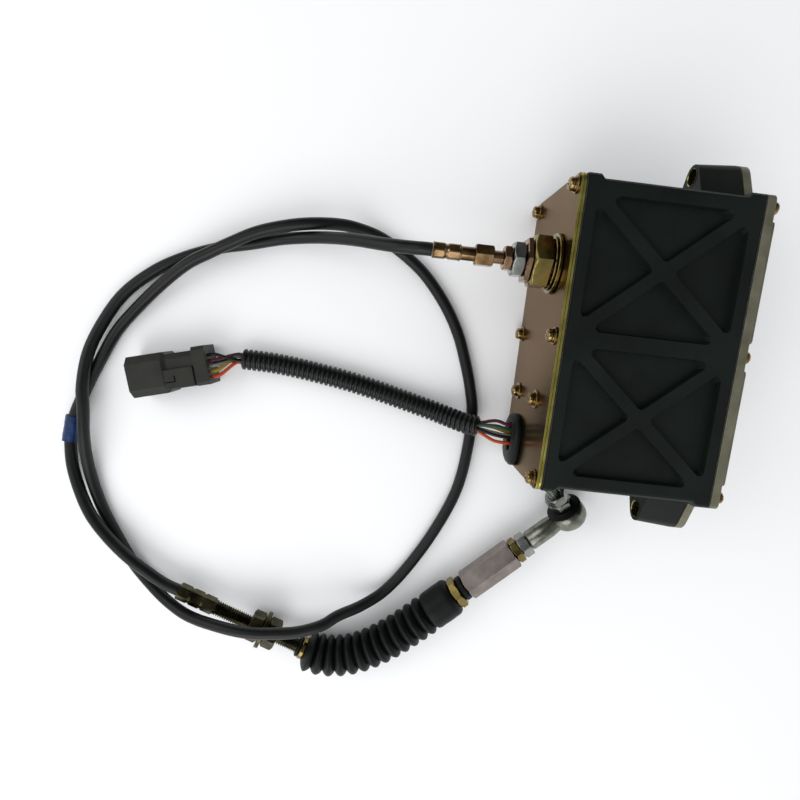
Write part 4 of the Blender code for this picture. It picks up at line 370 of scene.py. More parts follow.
def merged_copy(node):
    """The CAD solid as one merged bmesh with its flat faces joined."""
    shape = bmesh.new()
    shape.from_mesh(nodes[node].data)
    bmesh.ops.remove_doubles(shape, verts=shape.verts, dist=2e-6)
    bmesh.ops.dissolve_limit(shape, angle_limit=math.radians(0.6), verts=shape.verts, edges=shape.edges)
    return shape


def round_edges(shape, width, sharper_than=28, segments=3):
    """Break every edge that is sharper than the given angle, as tumbling or casting leaves it."""
    keen = [e for e in shape.edges
            if len(e.link_faces) == 2 and e.calc_face_angle(0) > math.radians(sharper_than)]
    bmesh.ops.bevel(shape, geom=keen, offset=width, offset_type="OFFSET", segments=segments, profile=0.5,
                    affect="EDGES", clamp_overlap=True, material=-1)
    return shape


casting = round_edges(merged_copy("housing"), EDGE_ROUND)
make_piece("housing_casting", casting, black_paint, "case", ["housing"], flat=True)


# Bushes of the lugs: turned steel with a yellow zinc plate, pressed into the lugs. Bore and outer radius, then
# where the bush starts and ends along X.
BUSH = (0.0043, 0.0048, 0.0219, 0.0432)
BUSH_EDGE = 0.0004
LUG_HEIGHT = 0.048
BUSH_PLACES = (("bush_upper", 0.0930, "lug_bush_upper"), ("bush_lower", -0.0930, "lug_bush_lower"))

# Yellow zinc on the bushes: a pale gold ring against the black lug.
bush_zinc = surface("yellow_zinc_bush", ("#7d7846", "#8f8a56", "#a39e69"), (0.2, 0.32), 5.0, 0.5, 0.006,
                    metallic=1.0)
ALONG_X = Matrix.Rotation(math.pi / 2, 4, "Y")
for name, place_y, node in BUSH_PLACES:
    bore, wall, low, high = BUSH
    blank = lathe([(bore, low + BUSH_EDGE), (bore + BUSH_EDGE, low), (wall, low), (wall, high),
                   (bore + BUSH_EDGE, high), (bore, high - BUSH_EDGE)], 48, closed=True)
    make_piece(name, blank, bush_zinc, "case", [node],
               Matrix.Translation((0.0, place_y, LUG_HEIGHT)) @ ALONG_X)


# End plate: blanked steel, 2.6 mm, with a yellow chromate over zinc. A fine groove, drawn in round its edge,
# shows as the dark line of a joint between two sheets.
PLATE_OUTER = -0.0473
JOINT_LINE = (-0.04615, -0.04600, -0.04585)
JOINT_DEPTH = 0.0003
EDGE_Y = 0.076
EDGE_Z = 0.037
PLATE_HEIGHT = 0.041
SCREW_REACH = 0.0066

# Yellow chromate: a thin film, rosy brown where the sheet is seen at a low angle, olive in places. Its face is
# painted a darker brown than its edge, partly the film's own colour and partly painted shade: a darker
# reflection painted into the colour.
shaded_face_chromate = surface("yellow_chromate_face_painted_shade", ("#4f4230", "#584937", "#61503e", "#59543a"), (0.18, 0.28),
                         34.0, 0.35, 0.003, metallic=1.0, Specular_Tint=linear("#efe0d2"))
# The blanked edge is painted a plain brass yellow, much lighter than the face of the same film: painted light.
lit_edge_chromate = surface("yellow_chromate_edge_painted_light", ("#9c9148", "#ada453", "#bdb463"), (0.28, 0.4), 9.0, 0.4, 0.008,
                        metallic=1.0)


def without_screws(shape, places, face, out):
    """Take the screws and washers off a merged plate and close the face below them."""
    loose = []
    for face_part in shape.faces:
        if all((vert.co.x - face) * out > -2e-6 for vert in face_part.verts):
            for y, z in places:
                if all(math.hypot(vert.co.y - y, vert.co.z - z) < SCREW_REACH for vert in face_part.verts):
                    loose.append(face_part)
                    break
    bmesh.ops.delete(shape, geom=loose, context="FACES")
    bmesh.ops.holes_fill(shape, edges=[e for e in shape.edges if len(e.link_faces) == 1], sides=0)
    return shape


SCREW_PLACES = [(y, z) for z in (0.0063, 0.0757) for y in (-0.0745, 0.0, 0.0745)]
PLATE_SCREWS = [place for place in SCREW_PLACES if place != (-0.0745, 0.0063)]
INNER_SCREWS = [(-0.0350, 0.0165), (-0.0350, 0.0570)]
WIDE_WASHER = 0.0052
plate = without_screws(merged_copy("end_plate"), PLATE_SCREWS + INNER_SCREWS, PLATE_OUTER, -1)
round_edges(plate, 0.0003, segments=2)
for station in JOINT_LINE:
    bmesh.ops.bisect_plane(plate, geom=plate.verts[:] + plate.edges[:] + plate.faces[:], dist=1e-7,
                           plane_co=(station, 0, 0), plane_no=(1, 0, 0))
for vert in plate.verts:
    if abs(vert.co.x - JOINT_LINE[1]) < 1e-6:
        above = vert.co.z - PLATE_HEIGHT
        if abs(vert.co.y) > EDGE_Y:
            vert.co.y -= math.copysign(JOINT_DEPTH, vert.co.y)
        if abs(above) > EDGE_Z:
            vert.co.z -= math.copysign(JOINT_DEPTH, above)
plate_piece = make_piece("end_plate_sheet", plate, shaded_face_chromate, "case", ["end_plate"],
                         flat=True)
# The sheet's edge faces take the lighter copy of the film, which is painted light.
plate_piece.data.materials.append(lit_edge_chromate)
for face in plate_piece.data.polygons:
    if abs(face.normal.x) < 0.6:
        face.material_index = 1


# Back cover: sand-cast aluminium with a thin tan chromate, raised in its middle and notched round its screws.
# Chromated casting: a dull tan grey with darker pores.
cover_cast = surface("chromated_cast_aluminium", ("#6b6955", "#777562", "#83816d"), (0.45, 0.6), 14.0, 0.55,
                     0.03, metallic=0.6, speck=("#4b483a", 0.3))
COVER_OUTER = 0.0491
cover = round_edges(without_screws(merged_copy("back_cover"), SCREW_PLACES, COVER_OUTER, 1), 0.0005)
make_piece("cover_casting", cover, cover_cast, "case", ["back_cover"], flat=True)


# Screws: M4 pan heads with a cross recess, a split spring washer and a flat washer under each, in steel. Five
# hold the end plate, two with wide washers hold the chassis behind it, and six hold the cover.
WASHER = 0.0046

# Yellow zinc, a little rosy: glossy, so that each head has a bright spot.
screw_zinc = surface("rosy_yellow_zinc_screw", ("#75603a", "#8b754c", "#a28c62"), (0.1, 0.2), 6.0, 0.5, 0.005,
                     metallic=1.0)


def join_shapes(first, *others):
    """Put several closed shapes into the first one."""
    for other in others:
        carrier = bpy.data.meshes.new("carrier")
        other.to_mesh(carrier)
        first.from_mesh(carrier)
        other.free()
        bpy.data.meshes.remove(carrier)
    return first


def pan_screw(name, place, out, washer_radius):
    """One screw with its two washers, seated on a face that looks along X; out is 1 or -1."""
    head = lathe([(0.0, 0.0018), (0.0032, 0.0018), (0.0034, 0.0020), (0.0034, 0.0030), (0.0032, 0.0037),
                  (0.0027, 0.0042), (0.0019, 0.0044), (0.0017, 0.0044), (0.0010, 0.0044), (0.0004, 0.0044),
                  (0.0, 0.0044)], 32)
    for vert in head.verts:
        radius = math.hypot(vert.co.x, vert.co.y)
        arm = abs(math.sin(2 * math.atan2(vert.co.y, vert.co.x))) < 0.1
        if vert.co.z > 0.0043 and radius < 0.0018 and (arm or radius < 0.0005):
            vert.co.z -= 0.0009 if radius > 0.0015 else 0.0014
    split = lathe([(0.0021, 0.0010), (0.0037, 0.0009), (0.0038, 0.0012), (0.0037, 0.0017), (0.0021, 0.0018)],
                  32, closed=True)
    middles = [(face, face.calc_center_median()) for face in split.faces]
    gap = [face for face, middle in middles if 0.0 < math.atan2(middle.y, middle.x) < 0.19]
    bmesh.ops.delete(split, geom=gap, context="FACES")
    bmesh.ops.holes_fill(split, edges=[e for e in split.edges if len(e.link_faces) == 1], sides=0)
    flat = lathe([(0.0021, 0.0), (washer_radius, 0.0), (washer_radius, 0.0007),
                  (washer_radius - 0.0002, 0.0009), (0.0021, 0.0009)], 40, closed=True)
    turn = Matrix.Rotation(out * math.pi / 2, 4, "Y") @ Matrix.Rotation(sum(place) * 700, 4, "Z")
    return make_piece(name, join_shapes(head, split, flat), screw_zinc, "case", (),
                      Matrix.Translation(place) @ turn)


for k, (y, z) in enumerate(PLATE_SCREWS):
    pan_screw("plate_screw_%d" % (k + 1), (PLATE_OUTER, y, z), -1, WASHER)
for k, (y, z) in enumerate(INNER_SCREWS):
    pan_screw("chassis_screw_%d" % (k + 1), (PLATE_OUTER, y, z), -1, WIDE_WASHER)
for k, (y, z) in enumerate(SCREW_PLACES):
    pan_screw("cover_screw_%d" % (k + 1), (COVER_OUTER, y, z), 1, WASHER)


# Cable gland: a turned body through the plate, clamped by washers and a 26 mm nut; the adapter, jam nut, lock
# nut, hub and crimped ferrule of the cable follow on the same axis. Steel, zinc plated, yellow and clear.
GLAND = Vector((PLATE_OUTER, 0.0380, 0.0560))
THREAD_DEPTH = 0.6


def frame_along(ahead, up=Vector((0, 0, 1))):
    """The rotation whose Z axis is ahead and whose X axis is as near to up as can be."""
    across = ahead.cross(up).normalized()
    rise = across.cross(ahead).normalized()
    return Matrix((rise, ahead.cross(rise), ahead)).transposed()


def mill_flats(blank, flats, low=-1.0, high=1.0):
    """Cut six flats on a turned blank between two heights, as they are milled on the real piece."""
    pitch = math.pi / 3
    for vert in blank.verts:
        if low - 1e-6 <= vert.co.z <= high + 1e-6:
            radius = math.hypot(vert.co.x, vert.co.y)
            off = math.atan2(vert.co.y, vert.co.x) % pitch - pitch / 2
            limit = flats / 2 / math.cos(off)
            if radius > limit:
                vert.co.x *= limit / radius
                vert.co.y *= limit / radius
    return blank


def nut_blank(flats, bore, low, high, faced=0.965, both=True):
    """A hexagon nut: a bored blank with its corners chamfered at 30 degrees, then milled to size."""
    corner = flats / math.sqrt(3)
    start = flats / 2 * faced
    rise = (corner - start) * 0.577
    lead = 0.0004
    profile = [(bore, low + lead), (bore + lead, low), (start, low)]
    if both:
        profile += [(start + (corner - start) * k / 6, low + rise * k / 6) for k in range(1, 7)]
    else:
        profile += [(corner, low)]
    profile += [(start + (corner - start) * k / 6, high - rise * k / 6) for k in range(6, -1, -1)]
    profile += [(bore + lead, high), (bore, high - lead)]
    return mill_flats(lathe(profile, 72, closed=True), flats)


def thread_blank(radius, pitch, low, high):
    """A rod with a real helical thread between two heights."""
    turns = int((high - low) / pitch) + 3
    root = radius - pitch * THREAD_DEPTH
    profile = []
    for k in range(turns):
        base = low - pitch + k * pitch
        profile += [(root, base), (root, base + pitch * 0.12), (radius, base + pitch * 0.44),
                    (radius, base + pitch * 0.56), (root, base + pitch * 0.88)]
    profile.append((root, low - pitch + turns * pitch))
    rod = bmesh.new()
    verts = [rod.verts.new((r, 0.0, z)) for r, z in profile]
    edges = [rod.edges.new(pair) for pair in zip(verts, verts[1:])]
    bmesh.ops.spin(rod, geom=verts + edges, cent=(0, 0, 0), axis=(0, 0, 1), angle=2 * math.pi, steps=32,
                   dvec=(0, 0, pitch / 32), use_merge=False, use_duplicate=False)
    bmesh.ops.remove_doubles(rod, verts=rod.verts, dist=pitch * 0.02)
    for height, up in ((low, 1), (high, -1)):
        cut = bmesh.ops.bisect_plane(rod, geom=rod.verts[:] + rod.edges[:] + rod.faces[:], dist=1e-7,
                                     plane_co=(0, 0, height), plane_no=(0, 0, -up), clear_outer=True)
        rim = [e for e in cut["geom_cut"] if isinstance(e, bmesh.types.BMEdge)]
        bmesh.ops.holes_fill(rod, edges=rim, sides=0)
    bmesh.ops.recalc_face_normals(rod, faces=rod.faces)
    return rod


# Bright zinc: cool grey with a soft streaked gloss.
bright_zinc = surface("bright_zinc_plate", ("#7f827e", "#8e918c", "#9da09a"), (0.14, 0.26), 9.0, 0.5, 0.008,
                      metallic=1.0)
# Brass-yellow chromate on the gland's nut and washers: gold where it is lit, brown where it turns away.
gold_zinc = surface("gold_chromate_plate", ("#6b5c33", "#7d6e3f", "#8c7e4c", "#866e44"), (0.1, 0.2), 12.0, 0.6,
                    0.006, metallic=1.0)
# The hub and the ferrule are a browner gold, and the adapter and its lock nut are rosy like copper.
brown_zinc = surface("brown_chromate_plate", ("#5f4b31", "#735c3f", "#866f50", "#8c7256"), (0.12, 0.22), 9.0,
                     0.5, 0.006, metallic=1.0)
copper_zinc = surface("rosy_chromate_plate", ("#7c624b", "#8d735a", "#9d846b"), (0.12, 0.24), 10.0, 0.5, 0.006,
                      metallic=1.0)
# Spring steel, oiled: dark brown between the gold washers.
dark_steel = surface("oiled_spring_steel", ("#24211c", "#302c26", "#3c382f"), (0.3, 0.45), 6.0, 0.4, 0.01,
                     metallic=1.0)
gland_place = Matrix.Translation(GLAND) @ frame_along(Vector((-1, 0, 0))).to_4x4()


def gland_piece(name, blank, finish, node):
    """A piece on the gland's axis."""
    return make_piece(name, blank, finish, "case", [node], gland_place.copy(), sharp=26, flat=True)


def washer_blank(bore, radius, low, high, edge=0.0003, steps=64):
    """A blanked washer with rounded edges."""
    profile = [(bore, low), (radius - edge, low), (radius, low + edge), (radius, high - edge),
               (radius - edge, high), (bore, high)]
    return lathe(profile, steps, closed=True)


GLAND_BORE = 0.0088
STAR_TEETH = 16
STAR_ROOT = 0.0114
gland_piece("gland_seal_washer", washer_blank(GLAND_BORE, 0.0160, 0.0003, 0.0021), gold_zinc, "gland_washer")
gland_piece("gland_thin_washer", washer_blank(GLAND_BORE, 0.0142, 0.0024, 0.0034), gold_zinc, "gland_shim")
star = washer_blank(GLAND_BORE, 0.0132, 0.0037, 0.0045, 0.0001, 96)
for vert in star.verts:
    radius = math.hypot(vert.co.x, vert.co.y)
    if radius > 0.0120:
        share = (math.atan2(vert.co.y, vert.co.x) * STAR_TEETH / (2 * math.pi)) % 1.0
        if share > 0.5:
            vert.co.x *= STAR_ROOT / radius
            vert.co.y *= STAR_ROOT / radius
        else:
            vert.co.z += (share - 0.25) * 0.0008
gland_piece("gland_star_washer", star, dark_steel, "star_washer")
gland_piece("gland_lock_nut", nut_blank(0.0260, GLAND_BORE, 0.0048, 0.0138, both=False), gold_zinc, "gland_nut")
adapter = lathe([(0.0020, 0.0141), (0.0105, 0.0141), (0.0127, 0.0145), (0.0127, 0.0167), (0.0105, 0.0171),
                 (0.0034, 0.0171), (0.0034, 0.0331), (0.0020, 0.0331)], 72, closed=True)
gland_piece("adapter_collar", mill_flats(adapter, 0.0220, 0.0140, 0.0172), copper_zinc, "cable_adapter")
make_piece("adapter_thread", thread_blank(0.0036, 0.0010, 0.0280, 0.0332), copper_zinc, "case", (),
           gland_place.copy())
gland_piece("adapter_jam_nut", nut_blank(0.0170, 0.0038, 0.0174, 0.0236), bright_zinc, "jam_nut")
gland_piece("adapter_lock_nut", nut_blank(0.0120, 0.0038, 0.0239, 0.0281), copper_zinc, "lock_nut")
hub = [(0.0020, 0.0334)] + [(0.0050 + 0.0011 * k / 4, 0.0334 + 0.0006 * k / 4) for k in range(5)]
hub += [(0.0061 - 0.0011 * k / 4, 0.0428 + 0.0006 * k / 4) for k in range(5)]
hub += [(0.0037, 0.0436), (0.0037, 0.0506), (0.0020, 0.0506)]
hub = mill_flats(lathe(hub, 72, closed=True), 0.0105, 0.0333, 0.0435)
gland_piece("cable_end_hub", hub, brown_zinc, "cable_hub")
crimp = [(0.0020, 0.0509), (0.0042, 0.0509), (0.0044, 0.0511)]
for k in range(1, 40):
    waist = math.exp(-((k / 40 - 0.5) / 0.07) ** 2)
    crimp.append((0.0044 - 0.0007 * waist, 0.0511 + 0.0146 * k / 40))
crimp += [(0.0044, 0.0657), (0.0042, 0.0659), (0.0020, 0.0659)]
crimp = mill_flats(lathe(crimp, 72, closed=True), 0.0081, 0.0516, 0.0575)
mill_flats(crimp, 0.0081, 0.0593, 0.0652)
gland_piece("crimp_ferrule", crimp, brown_zinc, "near_ferrule")


# Far hub: a steel tube swaged on the jacket, threaded for 59 mm and dull olive with worn chromate. Two 17 mm
# nuts clamp a bracket washer on it; the rubber wiper and its ring close the end that the rod slides out of.
far_place = Matrix.Translation(FAR_HUB) @ frame_along(FAR_AHEAD).to_4x4()

# Olive drab chromate, worn: dark in the hollows, brassy where hands and spanners rub.
olive_zinc = surface("olive_chromate_plate", ("#2c2a1b", "#3a3725", "#4a4631", "#57523c"), (0.2, 0.36), 9.0,
                     0.6, 0.008, metallic=1.0)
# Moulded rubber: a dull black with small paler specks.
black_rubber = surface("moulded_black_rubber", ("#030605", "#060a08", "#0a0e0c"), (0.42, 0.58), 18.0, 0.7, 0.02,
                       speck=("#121614", 0.3), Specular_IOR_Level=0.22)


def far_piece(name, blank, finish, nodes_for):
    """A piece on the far hub's axis."""
    return make_piece(name, blank, finish, "case", nodes_for, far_place.copy(), sharp=26, flat=True)


swage = [(0.0020, 0.0), (0.0050, 0.0), (0.0055, 0.0005)]
for k in range(1, 60):
    height = 0.0005 + 0.0242 * k / 60
    nearest = min(abs(height - 0.0084), abs(height - 0.0168))
    swage.append((0.0055 - 0.0008 * math.exp(-(nearest / 0.0007) ** 2), height))
swage += [(0.0055, 0.0247), (0.0048, 0.0252), (0.0046, 0.0262), (0.0046, 0.0268), (0.0020, 0.0268)]
sleeve = mill_flats(lathe(swage, 72, closed=True), 0.0096, -0.001, 0.0253)
sleeve_piece = far_piece("swaged_sleeve", sleeve, olive_zinc, ["far_hub"])
hub_thread = far_piece("far_hub_thread", thread_blank(0.0049, 0.0015, 0.0262, 0.0850), olive_zinc, ())
rear_nut = far_piece("clamp_nut_rear", nut_blank(0.0170, 0.0052, 0.0505, 0.0590), olive_zinc, ["hub_nut_rear"])
front_nut = far_piece("clamp_nut_front", nut_blank(0.0170, 0.0052, 0.0622, 0.0707), olive_zinc,
                      ["hub_nut_front"])
clamp_washer = far_piece("clamp_washer", washer_blank(0.0052, 0.0119, 0.0593, 0.0619), olive_zinc,
                         ["hub_washer"])
wiper = lathe([(0.0020, 0.0853), (0.0053, 0.0853), (0.0060, 0.0856), (0.0066, 0.0861), (0.0066, 0.0867),
               (0.0062, 0.0870), (0.0066, 0.0873), (0.0064, 0.0875), (0.0020, 0.0875)], 56, closed=True)
wiper = far_piece("rod_wiper", wiper, black_rubber, ["hub_seal"])
wiper_ring = far_piece("wiper_ring", washer_blank(0.0020, 0.0071, 0.0878, 0.0904), gold_zinc, ["hub_ring"])


# Bellows: moulded rubber gaiter of thirteen round folds with a plain cuff at the barrel. It bends through 64
# degrees between hub and rod.
EYE = Vector((-0.0038, -0.1108, 0.0131))
ROD_TURN = math.radians(43.2)
ROD_OUT = Vector((math.cos(ROD_TURN), math.sin(ROD_TURN), 0.0))
FOLDS = 13
FOLD_RADII = (0.0094, 0.0128)
FOLD_FULLNESS = 0.42
CUFF_RADIUS = 0.0124
CUFF = 0.0212
CUFF_START = 0.1121

first = FAR_HUB + FAR_AHEAD * 0.0907
last = EYE - ROD_OUT * CUFF_START
pull = (last - first).length * 0.37
handles = (first, first + FAR_AHEAD * pull, last - ROD_OUT * pull, last)
bend = []
for k in range(401):
    t = k / 400
    bend.append(handles[0] * (1 - t) ** 3 + handles[1] * 3 * t * (1 - t) ** 2 + handles[2] * 3 * t * t * (1 - t)
                + handles[3] * t**3)
bend += [last + ROD_OUT * CUFF * k / 40 for k in range(1, 41)]
bellows_line = smooth_line(bend[::4], 0.001)
total = sum((b - a).length for a, b in zip(bellows_line, bellows_line[1:]))
fold_end = total - CUFF
outer = [(0.0069, 0.0)]
for k in range(FOLDS * 14):
    share = (k + 1) / (FOLDS * 14)
    wave = 0.5 - 0.5 * math.cos(2 * math.pi * share * FOLDS)
    radius = FOLD_RADII[0] + (FOLD_RADII[1] - FOLD_RADII[0]) * wave ** FOLD_FULLNESS
    if share < 0.5 / FOLDS:
        radius = max(0.0072, radius - 0.0028 * (1 - share * 2 * FOLDS))
    outer.append((radius, fold_end * share))
for step, radius in ((0.0006, 0.0100), (0.0010, 0.0112), (0.0018, 0.0120), (0.0030, CUFF_RADIUS),
                     (0.0070, CUFF_RADIUS), (0.0120, CUFF_RADIUS + 0.0001), (0.0160, CUFF_RADIUS),
                     (0.0180, CUFF_RADIUS), (0.0194, 0.0119), (0.0204, 0.0110), (0.0210, 0.0098),
                     (CUFF, 0.0084)):
    outer.append((radius, fold_end + step))
inner = [(0.0073, total), (0.0073, total - 0.004)]
inner += [(0.0082, total - 0.010 - (total - 0.014) * k / 40) for k in range(41)]
inner += [(0.0056, 0.0015), (0.0056, 0.0)]
gaiter = lay_along(lathe(outer + inner, 64, closed=True), bellows_line)
bellows_piece = make_piece("bellows_gaiter", gaiter, black_rubber, None, ["bellows"], sharp=60)
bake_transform(bellows_piece)


# Core of the cable: a steel wire that runs inside the bellows from the hub to the rod.
core_strand = make_piece("core_strand", merged_copy("core_wire"), bright_zinc, None, ["core_wire"])
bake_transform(core_strand)


# Sliding rod: aluminium hexagon barrel between a rubber seal and a gold ring, a gold lock nut, a clear zinc jam
# nut and the forged rod end.
rod_place = Matrix.Translation(EYE) @ frame_along(ROD_OUT).to_4x4()

# Bar aluminium, drawn: pale and slightly warm, with soft clouds.
bar_aluminium = surface("drawn_aluminium_bar", ("#7f7671", "#8a817c", "#958d88"), (0.26, 0.38), 10.0, 0.4,
                        0.008, metallic=1.0)
# Plated forging: a grey a little greener and rougher than the nuts.
forged_zinc = surface("zinc_plated_forging", ("#65675d", "#777970", "#8b8d82"), (0.22, 0.34), 6.0, 0.7, 0.03,
                      metallic=1.0)


def rod_piece(name, blank, finish, nodes_for):
    """A piece on the sliding rod's axis, whose zero is the centre of the eye."""
    return make_piece(name, blank, finish, "sliding_rod", nodes_for, rod_place.copy(), sharp=26,
                      flat=True)


boot_ring = rod_piece("cuff_ring", nut_blank(0.0182, 0.0020, -0.0906, -0.0856, 0.985), gold_zinc, ["boot_ring"])
barrel_seal = rod_piece("barrel_gasket", washer_blank(0.0020, 0.0082, -0.0853, -0.0813, 0.0008), black_rubber,
                        ["barrel_seal"])
barrel = rod_piece("hexagon_barrel", nut_blank(0.0172, 0.0048, -0.0810, -0.0432, 0.985), bar_aluminium,
                   ["barrel"])
lock_nut = rod_piece("barrel_lock_nut", nut_blank(0.0148, 0.0048, -0.0429, -0.0381), gold_zinc, ["barrel_nut"])
jam_nut = rod_piece("rod_end_jam_nut", nut_blank(0.0142, 0.0048, -0.0378, -0.0313), bright_zinc,
                    ["rod_jam_nut"])


# Rod end: a drop forging, zinc plated. The round eye sits on a round shank that is threaded into the barrel.
STUD_RISE = math.radians(16)
stud_ahead = Vector((-ROD_OUT.y, ROD_OUT.x, 0)) * math.cos(STUD_RISE)
stud_ahead += Vector((0, 0, math.sin(STUD_RISE)))
stud_place = Matrix.Translation(EYE) @ frame_along(stud_ahead, ROD_OUT).to_4x4()

eye = lathe([(0.0, -0.0068), (0.0070, -0.0068), (0.0096, -0.0060), (0.0110, -0.0040), (0.0115, -0.0015),
             (0.0115, 0.0015), (0.0112, 0.0036), (0.0104, 0.0048), (0.0094, 0.0050), (0.0075, 0.0050),
             (0.0072, 0.0035), (0.0072, 0.0), (0.0, -0.0030)], 64)
eye.transform(stud_place)
shank = lathe([(0.0, -0.0310), (0.0056, -0.0310), (0.0064, -0.0300), (0.0064, -0.0150), (0.0060, -0.0120),
               (0.0056, -0.0095), (0.0, -0.0095)], 48)
shank.transform(rod_place)
forging = make_piece("rod_end_forging", join_shapes(eye, shank), forged_zinc, "sliding_rod", ["rod_end"],
                     sharp=40)
shank_thread = rod_piece("rod_end_thread", thread_blank(0.0046, 0.00125, -0.0436, -0.0306), bright_zinc, ())


# Ball stud, its nut and its boot: case-hardened steel with clear zinc, and a moulded rubber boot with two lips.
def stud_piece(name, blank, finish, body, nodes_for):
    """A piece on the ball stud's axis, whose zero is the centre of the ball."""
    return make_piece(name, blank, finish, body, nodes_for, stud_place.copy(), sharp=26, flat=True)


stud = nut_blank(0.0130, 0.0030, 0.0080, 0.0128, 0.95)
ball = lathe([(0.0070 * math.cos(a), 0.0070 * math.sin(a)) for a in [-math.pi / 2 + k * 0.13 for k in range(20)]]
             + [(0.0038, 0.0062), (0.0038, 0.0082), (0.0, 0.0082)], 48)
ball_stud = stud_piece("ball_stud_shank", join_shapes(stud, ball), bright_zinc, "stud", ["ball_stud"])
stud_thread = stud_piece("ball_stud_thread", thread_blank(0.0037, 0.00125, 0.0127, 0.0268), bright_zinc, "stud",
                         ())
stud_nut = stud_piece("ball_stud_nut", nut_blank(0.0130, 0.0039, 0.0131, 0.0189), bright_zinc, "stud",
                      ["stud_nut"])
boot = lathe([(0.0100, 0.0056), (0.0111, 0.0055), (0.0114, 0.0058), (0.0112, 0.0063), (0.0105, 0.0065),
              (0.0106, 0.0068), (0.0099, 0.0072), (0.0084, 0.0073), (0.0082, 0.0077), (0.0060, 0.0078),
              (0.0043, 0.0078), (0.0041, 0.0072), (0.0060, 0.0070), (0.0088, 0.0063)], 56, closed=True)
boot = stud_piece("ball_joint_boot", boot, black_rubber, None, ["stud_boot"])
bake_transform(boot)


# Harness: six PVC wires of 2.1 mm leave the grommet, run into a corrugated nylon sleeve and fan out again into
# the connector's seal.
SLEEVE_RADII = (0.0053, 0.0065)
SLEEVE_PITCH = 0.0031
SLEEVE_LAY = (
    (-0.0700, -0.0598, 0.0190), (-0.0790, -0.0588, 0.0155), (-0.0880, -0.0569, 0.0115),
    (-0.0980, -0.0545, 0.0085), (-0.1226, -0.0486, 0.0071), (-0.1370, -0.0452, 0.0070),
    (-0.1516, -0.0422, 0.0070), (-0.1670, -0.0397, 0.0070), (-0.1830, -0.0375, 0.0070),
    (-0.2000, -0.0358, 0.0074), (-0.2198, -0.0352, 0.0090),
)
WIRE_RADIUS = 0.00105
WIRE_RING = 0.0026
GROMMET_MOUTH = Vector((-0.0500, -0.0620, 0.0213))
# Each wire: colour name and hex, its angle in the sleeve, and its place in the grommet and in the connector,
# across and up from the middle.
WIRES = (
    ("maroon", "#4a1220", 90, (0.0060, 0.0010), (0.0030, 0.0050)),
    ("green", "#0c3d2f", 30, (0.0034, 0.0024), (0.0010, -0.0050)),
    ("yellow", "#8f7416", 150, (0.0012, -0.0010), (-0.0036, 0.0050)),
    ("grey", "#76716b", 210, (-0.0008, 0.0008), (-0.0004, 0.0054)),
    ("black", "#0c0c0d", -30, (-0.0016, 0.0034), (0.0064, 0.0044)),
    ("orange", "#b8420f", -90, (-0.0056, 0.0004), (-0.0070, 0.0042)),
)

# Nylon sleeve: black, satin on its ribs.
sleeve_nylon = surface("black_nylon_sleeve", ("#040706", "#070b09", "#0b0f0d"), (0.3, 0.44), 16.0, 0.6, 0.01,
                       Specular_IOR_Level=0.4)
sleeve_line = smooth_line(SLEEVE_LAY, 0.001)
sleeve_long = sum((b - a).length for a, b in zip(sleeve_line, sleeve_line[1:]))
ribs = round(sleeve_long / SLEEVE_PITCH)
pitch = sleeve_long / ribs
low_r, high_r = SLEEVE_RADII
profile = []
for k in range(ribs):
    base = k * pitch
    for share, radius in ((0.0, low_r), (0.16, low_r), (0.28, high_r - 0.0002), (0.36, high_r), (0.74, high_r),
                          (0.82, high_r - 0.0002), (0.94, low_r)):
        profile.append((radius, base + share * pitch))
profile.append((low_r, sleeve_long))
profile += [(low_r - 0.0006, sleeve_long * (1 - k / ribs)) for k in range(ribs + 1)]
sleeve_tube = lay_along(lathe(profile, 28, closed=True), sleeve_line)
conduit = make_piece("corrugated_sleeve", sleeve_tube, sleeve_nylon, "case", ["conduit"], sharp=50)

CONNECTOR = Vector((-0.2375, -0.0407, 0.0124))
PLUG_TURN = math.radians(195.3)
PLUG_AHEAD = Vector((math.cos(PLUG_TURN), math.sin(PLUG_TURN), 0.0))
plug_place = Matrix.Translation(CONNECTOR) @ frame_along(PLUG_AHEAD).to_4x4()
mouth_ahead = (sleeve_line[0] - sleeve_line[2]).normalized()
tail_ahead = (sleeve_line[-1] - sleeve_line[-3]).normalized()
into_sleeve = frame_along(-mouth_ahead)
out_of_sleeve = frame_along(tail_ahead)
for name, code, angle, start, end in WIRES:
    # PVC insulation: one even colour, as it is extruded, with a satin gloss that varies.
    wire_pvc = surface(name + "_pvc_wire", (code, code), (0.3, 0.42), 6.0, 0.5, 0.005, Specular_IOR_Level=0.4)
    angle = math.radians(angle)
    ring = Vector((WIRE_RING * math.cos(angle), WIRE_RING * math.sin(angle), 0.0))
    outlet = GROMMET_MOUTH + Vector((0.0, *start))
    mouth = sleeve_line[0] + into_sleeve @ ring
    middle = outlet.lerp(mouth, 0.5) + Vector((0.0, start[0] * 0.35, 0.0008 + start[1] * 0.3))
    seat = plug_place @ Vector((end[1], end[0], -0.0002))
    before = plug_place @ Vector((end[1], end[0], -0.0040))
    tail = sleeve_line[-1] + out_of_sleeve @ ring
    runs = (
        ("grommet_wire_", "grommet_wires", [outlet, outlet + Vector((-0.003, 0, 0.0003)), middle, mouth,
                                            sleeve_line[4] + into_sleeve @ ring]),
        ("connector_wire_", "connector_wires", [sleeve_line[-5] + out_of_sleeve @ ring, tail,
                                                tail + tail_ahead * 0.0035, before, seat]),
    )
    for label, node, route in runs:
        line = smooth_line(route, 0.0008)
        long = sum((b - a).length for a, b in zip(line, line[1:]))
        strand = lathe([(0.0, 0.0), *[(WIRE_RADIUS, long * j / 24) for j in range(25)], (0.0, long)], 20)
        make_piece(label + name, lay_along(strand, line), wire_pvc, "case",
                                      [node] if name == "maroon" else (), sharp=60)


